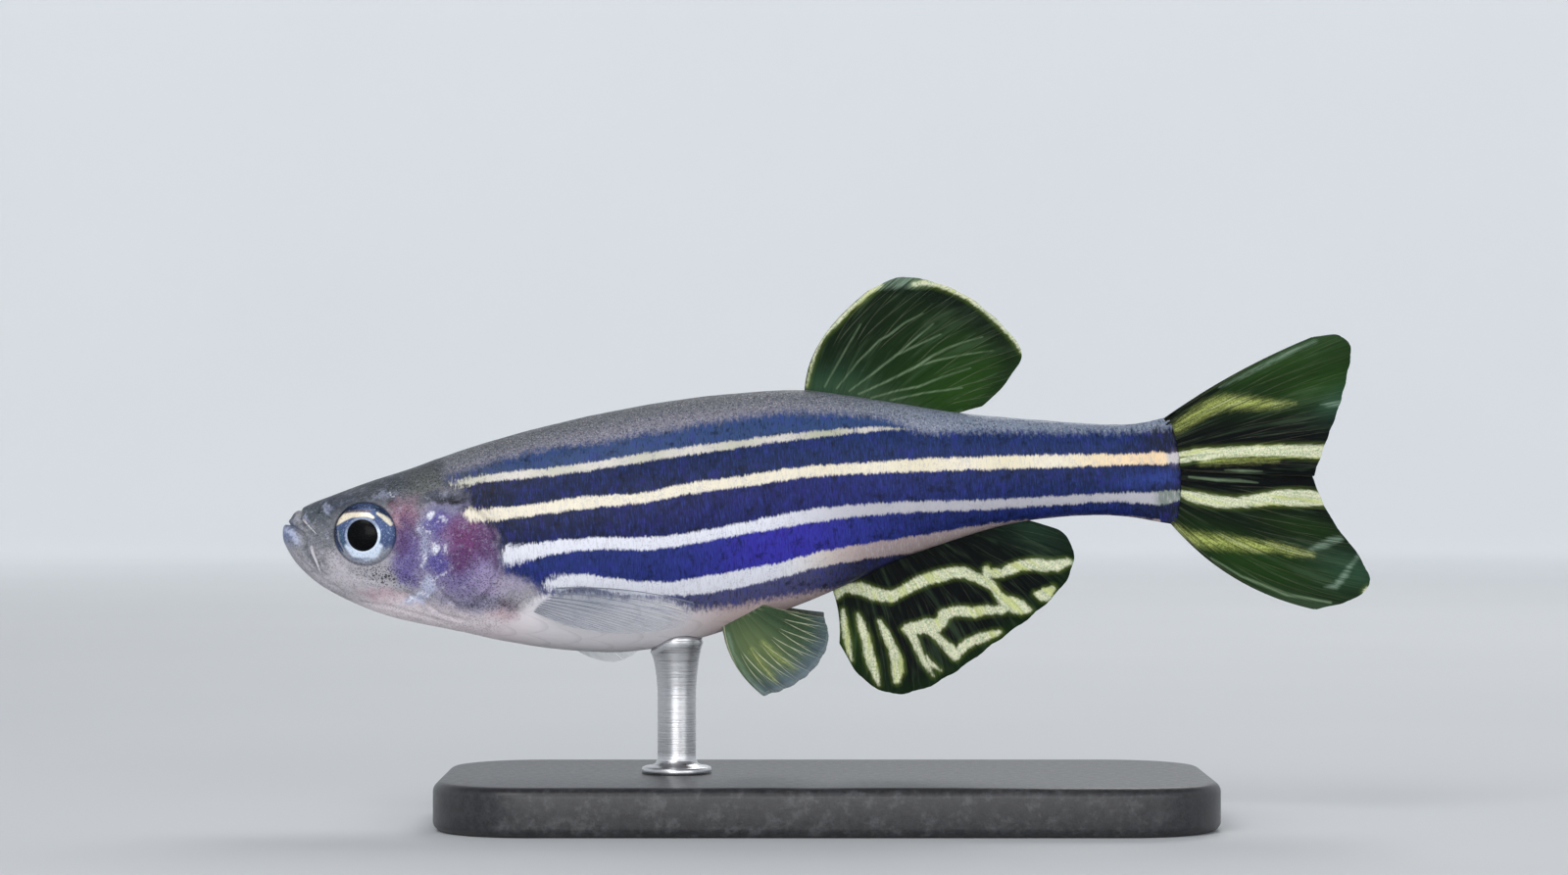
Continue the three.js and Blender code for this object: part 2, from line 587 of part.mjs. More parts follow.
function rodSolid() {
  const top = BASE_HEIGHT + BELLY_CLEARANCE + 3;
  const foot = BASE_HEIGHT + GAP;
  const geometry = new THREE.CylinderGeometry(ROD_RADIUS, ROD_RADIUS, top - foot, 16);
  const foundAt = new THREE.Vector3(ROD_AT, 0, bellyAt(ROD_AT)).applyMatrix4(fish.matrixWorld);
  geometry.rotateX(Math.PI / 2);
  geometry.translate(foundAt.x, 0, (top + foot) / 2);
  const clear = bodyClear.transform(fish.matrixWorld.toArray());
  return largest(solidOfGeometry(geometry).subtract(clear));
}

const root = new THREE.Group();
root.add(
  fish,
  meshOf("stand_base", solidOfGeometry(baseGeometry()), COLOURS.base),
  meshOf("stand_rod", rodSolid(), COLOURS.rod),
);
export default root;
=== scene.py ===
import logging
import math
from dataclasses import dataclass, field, replace
from enum import Enum
from typing import Callable

import bpy
import numpy as np
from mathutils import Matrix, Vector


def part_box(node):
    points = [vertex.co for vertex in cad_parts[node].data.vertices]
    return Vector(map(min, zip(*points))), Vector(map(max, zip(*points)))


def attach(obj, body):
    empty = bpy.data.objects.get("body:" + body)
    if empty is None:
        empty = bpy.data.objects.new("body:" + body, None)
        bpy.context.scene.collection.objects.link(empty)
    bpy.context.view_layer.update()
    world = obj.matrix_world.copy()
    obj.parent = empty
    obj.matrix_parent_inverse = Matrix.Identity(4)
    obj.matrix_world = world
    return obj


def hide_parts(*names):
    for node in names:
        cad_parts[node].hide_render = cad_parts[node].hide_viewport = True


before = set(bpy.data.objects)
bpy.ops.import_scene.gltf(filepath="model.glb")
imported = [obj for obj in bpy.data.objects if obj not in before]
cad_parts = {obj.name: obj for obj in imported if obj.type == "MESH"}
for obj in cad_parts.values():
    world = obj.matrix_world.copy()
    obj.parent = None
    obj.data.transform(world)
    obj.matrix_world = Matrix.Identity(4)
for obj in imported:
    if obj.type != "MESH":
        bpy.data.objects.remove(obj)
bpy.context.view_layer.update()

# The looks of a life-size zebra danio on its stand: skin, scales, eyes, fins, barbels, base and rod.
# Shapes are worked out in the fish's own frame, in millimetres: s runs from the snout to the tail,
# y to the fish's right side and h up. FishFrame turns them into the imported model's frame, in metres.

log = logging.getLogger("danio")
Array = np.ndarray
Pair = tuple[float, float]
Triple = tuple[float, float, float]
Path = tuple[tuple[float, ...], ...]
Socket = bpy.types.NodeSocket
Feed = Socket | float | tuple


class Tint(Enum):
    """The named colours of the fish and its stand, as screen values from 0 to 255."""

    BACK_GREY = (128, 126, 140)
    BACK_OLIVE = (84, 90, 90)
    BACK_BLUE = (122, 136, 158)
    STEEL_BLUE = (50, 72, 112)
    AZURE = (48, 70, 152)
    NAVY = (16, 26, 62)
    DEEP_BLUE = (28, 48, 94)
    INK = (6, 9, 26)
    VIOLET = (52, 46, 158)
    DUSK = (80, 80, 112)
    SILVER = (226, 227, 237)
    CREAM = (228, 219, 198)
    APRICOT = (244, 208, 160)
    GOLD = (214, 198, 132)
    GREEN_GOLD = (112, 134, 52)
    PEARL = (190, 187, 192)
    BELLY_ROSE = (192, 168, 166)
    BELLY_SILVER = (232, 229, 233)
    SKULL = (80, 84, 90)
    SKULL_DARK = (70, 76, 90)
    NAPE = (94, 96, 94)
    SNOUT = (82, 88, 94)
    JAW_BLUE = (112, 124, 156)
    JAW_GREY = (128, 130, 136)
    CHEEK = (104, 76, 112)
    CHEEK_ROSE = (140, 104, 122)
    CHEEK_VIOLET = (96, 84, 146)
    OPERCLE = (116, 104, 150)
    BLUE_VIOLET = (88, 80, 150)
    MAGENTA = (108, 54, 104)
    PLUM = (92, 58, 104)
    LILAC = (168, 152, 190)
    ICE = (186, 192, 220)
    ROSE = (196, 160, 170)
    THROAT = (234, 222, 226)
    CHIN = (188, 182, 188)
    SAND = (162, 159, 165)
    SLATE = (122, 120, 148)
    SMUDGE = (104, 88, 102)
    FLECK = (238, 238, 250)
    MELANIN = (26, 26, 34)
    FIN_SMOKE = (16, 38, 12)
    FIN_DARK = (4, 9, 10)
    FIN_OLIVE = (38, 70, 20)
    FIN_GREY = (78, 100, 74)
    FIN_TEAL = (52, 88, 66)
    FIN_BLUE = (112, 126, 150)
    FIN_GOLD = (198, 206, 118)
    FIN_CREAM = (228, 226, 196)
    FIN_PALE = (150, 174, 138)
    FIN_FROST = (142, 166, 146)
    PECTORAL = (168, 174, 190)
    IRIS_SLATE = (76, 92, 130)
    IRIS_TEAL = (72, 98, 120)
    IRIS_CREAM = (242, 228, 204)
    IRIS_ICE = (220, 232, 250)
    IRIS_GREY = (150, 152, 162)
    IRIS_RIM = (104, 104, 114)
    IRIS_DARK = (40, 52, 78)
    IRIS_BROWN = (112, 92, 74)

    def linear(self) -> tuple[float, ...]:
        """The colour as light values for a shader socket."""
        return tuple(((c / 255 + 0.055) / 1.055) ** 2.4 for c in self.value) + (1.0,)

    def rgb(self) -> Array:
        """The colour's three light values as an array."""
        return np.array(self.linear()[:3])


def smoothstep(low: float, high: float, x: Array) -> Array:
    """0 below low, 1 above high, and 3t^2 - 2t^3 between them, where t is the share of the way."""
    t = np.clip((x - low) / (high - low), 0, 1)
    return t * t * (3 - 2 * t)


def bell(x: Array, centre: float, width: float) -> Array:
    """A bump of height 1 at centre: e to the minus square of the distance over width."""
    return np.exp(-(((x - centre) / width) ** 2))


def unit(vectors: Array) -> Array:
    """Vectors along the last axis, divided by their lengths."""
    return vectors / np.maximum(np.linalg.norm(vectors, axis=-1, keepdims=True), 1e-12)


@dataclass(frozen=True)
class Curve:
    """A smooth line through drawn points, each with one place x and one or more values.

    Between two points it is the cubic whose slopes are those of the chords over each point's neighbours.
    With root set, the cubic runs in the square root of x, which rounds a blunt nose.
    """

    points: Path
    root: bool = True

    def at(self, x: Array, column: int = 1) -> Array:
        """The value of one column at each x.

        Args:
            x: places along the curve.
            column: which value of each point is read.

        Returns:
            Values of the shape of x.
        """
        table = np.array(self.points, float)
        warp = np.sqrt if self.root else np.asarray
        knots, value = warp(table[:, 0]), table[:, column]
        place = warp(np.clip(x, table[0, 0], table[-1, 0]))
        i = np.arange(len(knots))
        before, after = np.maximum(i - 1, 0), np.minimum(i + 1, len(i) - 1)
        slope = (value[after] - value[before]) / (knots[after] - knots[before])
        k = np.clip(np.searchsorted(knots, place, side="right") - 1, 0, len(i) - 2)
        width = knots[k + 1] - knots[k]
        t = (place - knots[k]) / width
        p, q = value[k], value[k + 1]
        m, n = slope[k] * width, slope[k + 1] * width
        return p + t * (m + t * (3 * (q - p) - 2 * m - n + t * (2 * (p - q) + m + n)))


def line_distance(s: Array, h: Array, path: Path) -> tuple[Array, Array]:
    """How far each point is from a drawn line, and the line's half width at the nearest place.

    Each straight piece gives the distance to its nearest point, and the least of them is kept.

    Args:
        s: stations.
        h: heights.
        path: the line's points (s, h) or (s, h, half width).

    Returns:
        Distances and half widths.
    """
    best, half = np.full(s.shape, 1e9), np.zeros(s.shape)
    for a, b in zip(path[:-1], path[1:]):
        ds, dh = b[0] - a[0], b[1] - a[1]
        length = max(ds * ds + dh * dh, 1e-12)
        t = np.clip(((s - a[0]) * ds + (h - a[1]) * dh) / length, 0, 1)
        distance = np.hypot(s - a[0] - t * ds, h - a[1] - t * dh)
        nearer = distance < best
        best = np.where(nearer, distance, best)
        if len(a) > 2:
            half = np.where(nearer, a[2] + t * (b[2] - a[2]), half)
    return best, half


def inside(s: Array, h: Array, outline: Path) -> Array:
    """Signed distance to a closed outline, positive inside, by counting the edges to one side of a point.

    Args:
        s: stations.
        h: heights.
        outline: corners of the outline, in order.

    Returns:
        Distances.
    """
    ring = (*outline, outline[0])
    odd = np.zeros(s.shape, bool)
    for a, b in zip(ring[:-1], ring[1:]):
        if a[1] != b[1]:
            crosses = (a[1] > h) != (b[1] > h)
            odd ^= crosses & (s < a[0] + (h - a[1]) * (b[0] - a[0]) / (b[1] - a[1]))
    distance = line_distance(s, h, ring)[0]
    return np.where(odd, distance, -distance)


STEPS_A_SPAN = 24


def smooth_path(path: Path, count: int, closed: bool = False) -> Array:
    """A centripetal spline through drawn points, cut at equal lengths along itself.

    Each span is the four-point blend whose knots grow with the square root of the distance between points.

    Args:
        path: the drawn points, each with two or three numbers.
        count: number of points wanted.
        closed: whether the line ends where it began.

    Returns:
        An array of count rows.
    """
    p = np.array(path, float)
    p = np.vstack([p[-1], p, p[0], p[1]] if closed else [2 * p[0] - p[1], p, 2 * p[-1] - p[-2]])
    t = np.linspace(0, 1, STEPS_A_SPAN, endpoint=False)[:, None]
    pieces = []
    for a, b, c, d in zip(p[:-3], p[1:-2], p[2:-1], p[3:]):
        k1 = math.dist(a, b) ** 0.5
        k2 = k1 + math.dist(b, c) ** 0.5
        k3 = k2 + math.dist(c, d) ** 0.5
        x = k1 + (k2 - k1) * t
        one = (k1 - x) / k1 * a + x / k1 * b
        two = (k2 - x) / (k2 - k1) * b + (x - k1) / (k2 - k1) * c
        three = (k3 - x) / (k3 - k2) * c + (x - k2) / (k3 - k2) * d
        low = (k2 - x) / k2 * one + x / k2 * two
        high = (k3 - x) / (k3 - k1) * two + (x - k1) / (k3 - k1) * three
        pieces.append((k2 - x) / (k2 - k1) * low + (x - k1) / (k2 - k1) * high)
    fine = np.vstack([*pieces, p[-2][None]])
    return even_steps(fine, count)


def even_steps(line: Array, count: int, last: bool = True) -> Array:
    """Points at equal lengths along a line of many points.

    Args:
        line: rows of two or three numbers.
        count: number of points wanted.
        last: whether the line's end is one of them.

    Returns:
        An array of count rows.
    """
    run = np.concatenate([[0], np.cumsum(np.linalg.norm(np.diff(line, axis=0), axis=1))])
    at = np.linspace(0, run[-1], count, endpoint=last)
    return np.stack([np.interp(at, run, column) for column in line.T], axis=1)


@dataclass(frozen=True)
class FishFrame:
    """Where the fish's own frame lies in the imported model."""

    nose_down_deg: float = 4.16
    eye_at: Pair = (3.5, -0.28)

    def turn(self) -> Pair:
        """Cosine and sine of the angle by which the nose points down."""
        angle = math.radians(self.nose_down_deg)
        return math.cos(angle), math.sin(angle)

    def origin(self) -> Pair:
        """X and Z of the frame's origin in millimetres, found from the middle of the left eye's node.

        Returns:
            The two numbers.
        """
        (c, sn), (low, high), (s, h) = self.turn(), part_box("eye_left"), self.eye_at
        return (low.x + high.x) * 500 - s * c + h * sn, (low.z + high.z) * 500 - s * sn - h * c

    def to_world(self, points: Array) -> Array:
        """Points (s, y, h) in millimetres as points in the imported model's frame, in metres.

        Args:
            points: array whose last axis is s, y, h.

        Returns:
            Array of the same shape.
        """
        (c, sn), (x0, z0) = self.turn(), self.origin()
        s, y, h = np.moveaxis(points, -1, 0)
        return np.stack([x0 + s * c - h * sn, y, z0 + s * sn + h * c], axis=-1) / 1000


FISH = FishFrame()


@dataclass
class MeshParts:
    """Points, faces, corner UVs and point attributes that are gathered into one mesh.

    With in_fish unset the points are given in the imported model's frame, in millimetres.
    """

    points: list[Array] = field(default_factory=list)
    faces: list[Array] = field(default_factory=list)
    uvs: list[Array] = field(default_factory=list)
    values: dict[str, list[Array]] = field(default_factory=dict)
    count: int = 0
    in_fish: bool = True

    def add(self, points: Array, faces: list[Array], uv: Array | list[Array] | None = None,
            **values: Array) -> "MeshParts":
        """Adds points and their faces, which are numbered from 0 within the block.

        Args:
            points: rows of s, y, h.
            faces: blocks of rows of three or four point numbers.
            uv: two UV numbers a point, or a block of them for each corner of each block of faces.
            values: for each attribute, one number or one colour a point.

        Returns:
            These parts.
        """
        self.points.append(points.reshape(-1, 3))
        for k, block in enumerate(faces):
            self.faces.append(block + self.count)
            if uv is None:
                self.uvs.append(np.zeros(block.shape + (2,)))
            else:
                self.uvs.append(uv[k] if isinstance(uv, list) else uv[block])
        for name, value in values.items():
            self.values.setdefault(name, []).append(value)
        self.count += len(self.points[-1])
        return self

    def build(self, name: str, body: str = "root") -> bpy.types.Object:
        """Makes the object, with smooth faces, its UV map and attributes.

        Args:
            name: the piece's name.
            body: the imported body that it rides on.

        Returns:
            The object.
        """
        mesh = bpy.data.meshes.new(name)
        points = np.vstack(self.points)
        sizes = np.concatenate([np.full(len(f), f.shape[1]) for f in self.faces])
        corners = np.concatenate([f.reshape(-1) for f in self.faces])
        mesh.vertices.add(len(points))
        mesh.loops.add(len(corners))
        mesh.polygons.add(len(sizes))
        points = FISH.to_world(points) if self.in_fish else points / 1000
        mesh.vertices.foreach_set("co", points.reshape(-1).astype(np.float32))
        mesh.loops.foreach_set("vertex_index", corners.astype(np.int32))
        mesh.polygons.foreach_set("loop_start", (np.cumsum(sizes) - sizes).astype(np.int32))
        mesh.polygons.foreach_set("use_smooth", np.ones(len(sizes), bool))
        mesh.update(calc_edges=True)
        uv = np.concatenate([u.reshape(-1) for u in self.uvs])
        mesh.uv_layers.new(name="OFBake").data.foreach_set("uv", uv.astype(np.float32))
        for key, blocks in self.values.items():
            value = np.concatenate(blocks)
            colour = value.ndim > 1
            if colour:
                value = np.concatenate([value, np.ones((len(value), 1))], axis=1).reshape(-1)
            attribute = mesh.attributes.new(key, "FLOAT_COLOR" if colour else "FLOAT", "POINT")
            attribute.data.foreach_set("color" if colour else "value", value.astype(np.float32))
        mesh.validate()
        made = bpy.data.objects.new(name, mesh)
        bpy.context.scene.collection.objects.link(made)
        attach(made, body)
        return made


def grid_faces(rows: int, columns: int, wrap: bool) -> Array:
    """The squares of a grid of points numbered row by row, facing down the rows cross over the columns.

    Args:
        rows: number of rows of points.
        columns: number of points in a row.
        wrap: whether the last column joins the first.

    Returns:
        Rows of four point numbers.
    """
    i = np.arange(rows - 1)[:, None] * columns
    j = np.arange(columns if wrap else columns - 1)[None, :]
    k = (j + 1) % columns
    return np.stack([i + j, i + columns + j, i + columns + k, i + k], axis=-1).reshape(-1, 4)


def fan_faces(ring: Array, pole: int) -> Array:
    """Triangles from each side of a closed ring of point numbers to one pole point."""
    return np.stack([np.roll(ring, -1), ring, np.full(len(ring), pole)], axis=1)


def outward(points: Array, blocks: list[Array]) -> list[Array]:
    """The faces of a closed shape, all turned over if its signed volume is below 0.

    The volume is a sixth of the sum, over triangles, of one corner dotted with the others' cross product.

    Args:
        points: rows of three numbers.
        blocks: blocks of faces that agree with each other.

    Returns:
        The blocks, facing outwards.
    """
    middle = points - points.mean(axis=0)
    volume = 0.0
    for block in blocks:
        for k in range(1, block.shape[1] - 1):
            one, two, three = (middle[block[:, n]] for n in (0, k, k + 1))
            volume += float(np.sum(one * np.cross(two, three)))
    return blocks if volume > 0 else [block[:, ::-1] for block in blocks]


def capped(grid: Array, start: Array, end: Array) -> tuple[Array, list[Array]]:
    """A closed tube: a grid whose last column joins the first, with a fan of triangles at each end.

    Args:
        grid: array of rows, columns and 3.
        start: the pole before the first row.
        end: the pole after the last row.

    Returns:
        The points, with the two poles last, and the blocks of faces: sides, first fan and last fan.
    """
    rows, columns = grid.shape[:2]
    count = rows * columns
    points = np.vstack([grid.reshape(-1, 3), start, end])
    ring = np.arange(columns)
    blocks = [grid_faces(rows, columns, wrap=True), fan_faces(ring[::-1], count),
              fan_faces(ring + count - columns, count + 1)]
    return points, outward(points, blocks)


@dataclass(frozen=True)
class BodyShape:
    """The fish's body without relief: outlines of its back and belly, and its half width, by station."""

    length: float = 37.4
    back: Curve = Curve(((0, 0.05), (0.19, 0.42), (0.46, 0.76), (0.8, 1.02), (1.3, 1.24), (2.23, 1.52),
        (3.9, 2), (5.56, 2.4), (7.3, 2.9), (10.5, 3.6), (13.8, 4.12), (17.2, 4.45), (20.4, 4.52),
        (22.2, 4.42), (25.2, 3.78), (28.5, 3.02), (31.7, 2.5), (34.5, 2.12), (36, 2.08), (37.4, 2.25)))
    belly: Curve = Curve(((0, -0.05), (0.12, -0.55), (0.5, -1.25), (1.24, -2.05), (2.7, -3.02),
        (4.3, -3.75), (6.7, -4.45), (9.1, -5.15), (11.5, -5.66), (13.9, -5.9), (16.4, -5.68), (18.9, -5.1),
        (21.4, -4.42), (23.3, -3.75), (25.4, -2.92), (27.5, -2.33), (30, -1.78), (32.4, -1.62),
        (34.6, -1.74), (37.4, -2.3)))
    widest: Curve = Curve(((0, 0), (2, -0.5), (5, -0.6), (9, -0.5), (14, -0.2), (20, 0.2), (26, 0.5),
        (32, 0.4), (37.4, 0)))
    half_width: Curve = Curve(((0, 0.1), (0.15, 0.48), (0.6, 0.82), (1.3, 1.12), (2.3, 1.5), (3.6, 1.92),
        (5.2, 2.22), (7, 2.45), (9, 2.6), (12, 2.75), (16, 2.66), (20, 2.3), (24, 1.82), (28, 1.38),
        (32, 1.02), (35, 0.76), (36.6, 0.55), (37.4, 0.42)))
    back_roundness: float = 0.92
    belly_roundness: float = 0.86
    end_half: float = 0.1
    end_length: float = 2.2

    def section(self, s: Array, above: Array) -> tuple[Array, Array, Array]:
        """The section's measures by station.

        Args:
            s: stations.
            above: whether the point is over the waist.

        Returns:
            The waist's height, the reach above or below it, and the roundness.
        """
        waist = self.widest.at(s)
        reach = np.where(above, self.back.at(s) - waist, waist - self.belly.at(s))
        return waist, reach, np.where(above, self.back_roundness, self.belly_roundness)

    def point(self, s: Array, angle: Array) -> Array:
        """A point of the section at station s, at an angle from the back over the right side to the belly.

        The height is the waist plus the reach times the angle's cosine, and the half width is multiplied by
        the sine raised to the section's roundness. The tail end thins to a rounded edge.

        Args:
            s: stations.
            angle: angles, of the same shape.

        Returns:
            Array of s, y, h.
        """
        up, across = np.cos(angle), np.sin(angle)
        waist, reach, power = self.section(s, up > 0)
        end = smoothstep(self.length - self.end_length, self.length, s)
        half = self.half_width.at(s) * (1 - end) + self.end_half * end
        h = waist + reach * up
        bow = smoothstep(self.length - 3, self.length, s) * 0.3 * (h / 2.2) ** 2
        return np.stack([s - bow, half * np.sign(across) * np.abs(across) ** power, h], axis=-1)

    def side(self, s: Array, h: Array) -> Array:
        """Half width of the body, by the same section.

        Args:
            s: stations.
            h: heights.

        Returns:
            Half widths.
        """
        waist, reach, power = self.section(s, h > self.widest.at(s))
        up = np.clip(np.abs(h - waist) / np.maximum(reach, 1e-6), 0, 1)
        return self.half_width.at(s) * np.sqrt(1 - up * up) ** power


BODY = BodyShape()


@dataclass(frozen=True)
class Crease:
    """A soft groove or ridge along a drawn line. depth is below 0 for a groove."""

    depth: float
    width: float
    path: Path

    def lift(self, s: Array, h: Array) -> Array:
        """Depth times e to the minus square of the distance over the width."""
        return self.depth * bell(line_distance(s, h, self.path)[0], 0, self.width)


@dataclass(frozen=True)
class Patch:
    """A soft ellipse on the side of the fish, which raises the skin or tints it."""

    at: Pair
    radii: Pair
    strength: float
    turn_deg: float = 0.0
    tint: Tint = Tint.SILVER
    soft: float = 0.6

    def share(self, s: Array, h: Array) -> Array:
        """1 inside the ellipse, falling to 0 over its soft edge.

        Args:
            s: stations.
            h: heights.

        Returns:
            Shares.
        """
        c, sn = math.cos(math.radians(self.turn_deg)), math.sin(math.radians(self.turn_deg))
        ds, dh = s - self.at[0], h - self.at[1]
        away = np.hypot((ds * c + dh * sn) / self.radii[0], (dh * c - ds * sn) / self.radii[1])
        return 1 - smoothstep(1 - self.soft, 1 + self.soft, away)


@dataclass(frozen=True)
class GillCover:
    """The bony plate over the gills: its outline, and how it stands out of the head."""

    outline: Path = ((5.95, 0.45), (7, 0.85), (8, 0.7), (8.72, 0.05), (9, -0.9), (8.95, -2), (8.45, -2.95),
        (7.5, -3.6), (6.4, -3.6), (5.85, -2.6), (6.1, -1.1))
    head_edge: Path = ((6.6, 6), (6.9, 1.6), (7.6, 1), (8.35, 0.65), (8.95, -0.1), (9.18, -0.95),
        (9.12, -2.1), (8.6, -3.15), (7.6, -3.9), (7.1, -4.6), (7, -7))
    proud: float = 0.11
    slit: float = -0.1

    def edge(self, s: Array, h: Array) -> Array:
        """Signed distance to the head's hind edge, positive on the head."""
        return inside(s, h, ((-3.0, 6.0), *smooth_path(self.head_edge, 60), (-3.0, -7.0)))

    def lift(self, s: Array, h: Array) -> Array:
        """How far the plate raises the skin: it grows from its front edge to its hind one, before a slit.

        Args:
            s: stations.
            h: heights.

        Returns:
            Heights.
        """
        depth = inside(s, h, smooth_path(self.outline, 60, closed=True)[:-1])
        swell = 0.35 + 0.65 * smoothstep(6.0, 8.4, s)
        plate = self.proud * swell * smoothstep(-0.03, 0.3 - 0.16 * smoothstep(7.4, 8.6, s), depth)
        behind = smoothstep(6.8, 8.2, s) * smoothstep(-4.2, -3.4, h)
        return plate + self.slit * bell(depth, -0.12, 0.09) * behind


@dataclass(frozen=True)
class EyePlace:
    """Where the eye's rim lies, how large it is, and which way it looks."""

    at: Pair = (3.57, -0.19)
    radius: float = 1.31
    forward_deg: float = 13.0
    sunk: float = 0.22

    def rim_y(self, s: Array) -> Array:
        """Distance from the middle plane of the plane in which the eye's rim lies."""
        middle = BODY.side(np.array(self.at[0]), np.array(self.at[1])) - self.sunk
        return middle + (s - self.at[0]) * math.tan(math.radians(self.forward_deg))


EYE = EyePlace()
GILL = GillCover()


@dataclass(frozen=True)
class HeadRelief:
    """The grooves, folds and swellings of the head, drawn on its side as far back as the station last."""

    last: float = 9.6
    # The creases are the mouth, its corner and the folds behind the lips, the lines under the eye and at
    # the hind edge of the cheek, and the edge of the skull's roof. The last three swells are the nostril:
    # a front pit, the flap behind it, and the hind pit.
    creases: tuple[Crease, ...] = (
        Crease(-0.2, 0.06, ((-0.3, 0.85), (0.2, 0.5), (0.55, 0.3), (0.93, 0.02), (1.05, -0.3),
               (1.03, -0.62))),
        Crease(-0.07, 0.07, ((0.72, 1.25), (0.84, 0.98), (0.94, 0.8), (1.06, 0.33), (1.2, -0.1))),
        Crease(-0.09, 0.07, ((1, -0.6), (1.02, -0.9), (1.25, -1.3), (1.5, -1.6), (1.8, -1.85))),
        Crease(-0.04, 0.08, ((0.35, -0.35), (0.6, -0.85), (1, -1.35), (1.6, -1.95), (2.6, -2.6))),
        Crease(-0.05, 0.07, ((1.9, -0.28), (2.2, -0.9), (2.55, -1.45), (3.1, -1.95), (3.9, -2.1))),
        Crease(-0.035, 0.09, ((4.95, 0.85), (4.9, 0.2), (4.92, -0.9), (5.2, -1.6), (5.5, -2))),
        Crease(-0.07, 0.08, ((6, 0.6), (5.98, -0.7), (6.12, -1.9), (6.5, -2.8), (7.3, -3.5))),
        Crease(-0.07, 0.09, ((5, -2.7), (5.7, -3.1), (6.4, -3.75), (7.4, -4.1))),
        Crease(-0.04, 0.08, ((3.2, -3.05), (4.4, -3.3), (5.6, -3.75), (6.8, -4.2))),
        Crease(-0.03, 0.12, ((2.5, 1), (3.5, 1.28), (4.6, 1.3), (5.8, 1.35), (6.8, 1.5))),)
    swells: tuple[Patch, ...] = (
        Patch((0.2, 0.12), (0.42, 0.4), 0.07), Patch((0.72, 0.62), (0.2, 0.34), 0.06, 25),
        Patch((0.85, -0.75), (0.3, 0.55), 0.05, 35), Patch((1.5, 0.2), (0.35, 0.6), 0.05, -15),
        Patch((3.2, -2.3), (1.5, 0.35), 0.04, -8), Patch((5.45, -0.6), (0.42, 1.3), 0.04),
        Patch((7.4, -0.9), (1, 1.1), 0.04), Patch((1.72, 0.93), (0.15, 0.11), -0.22, soft=0.35),
        Patch((1.93, 0.93), (0.12, 0.17), 0.1, 10, soft=0.45),
        Patch((2.14, 0.96), (0.13, 0.11), -0.2, soft=0.35),)

    def lift(self, s: Array, h: Array) -> Array:
        """The sum of all creases and swellings.

        Args:
            s: stations.
            h: heights.

        Returns:
            Heights.
        """
        total, near = np.zeros(s.shape), s < self.last
        total[near] = sum(crease.lift(s[near], h[near]) for crease in self.creases) + sum(
            swell.strength * swell.share(s[near], h[near]) for swell in self.swells)
        return total


@dataclass(frozen=True)
class Stripe:
    """A pale stripe along the flank: station, height and half width of each drawn point."""

    points: Path

    def height(self, s: Array) -> Array:
        """Height of the stripe's middle at each station."""
        return Curve(self.points, root=False).at(s, 1)

    def depth(self, s: Array, h: Array) -> Array:
        """How far inside the stripe a point is, below 0 outside it, flatter at its start so that it frays.

        Args:
            s: stations.
            h: heights.

        Returns:
            Depths.
        """
        first, last = self.points[0][0], self.points[-1][0]
        past = np.maximum(first - s, 0) + np.maximum(s - last, 0)
        depth = Curve(self.points, root=False).at(s, 2) - np.abs(h - self.height(s)) - past * 1.6
        return depth * (0.3 + 0.7 * smoothstep(first, first + 1.6, s))


def blend(base: Array, tint: Tint, share: Array | float) -> Array:
    """The base colours moved towards a tint by a share."""
    return base + np.asarray(share)[..., None] * (tint.rgb() - base)


def ground(tint: Tint, s: Array) -> Array:
    """One tint for every point of s."""
    return np.broadcast_to(tint.rgb(), s.shape + (3,))


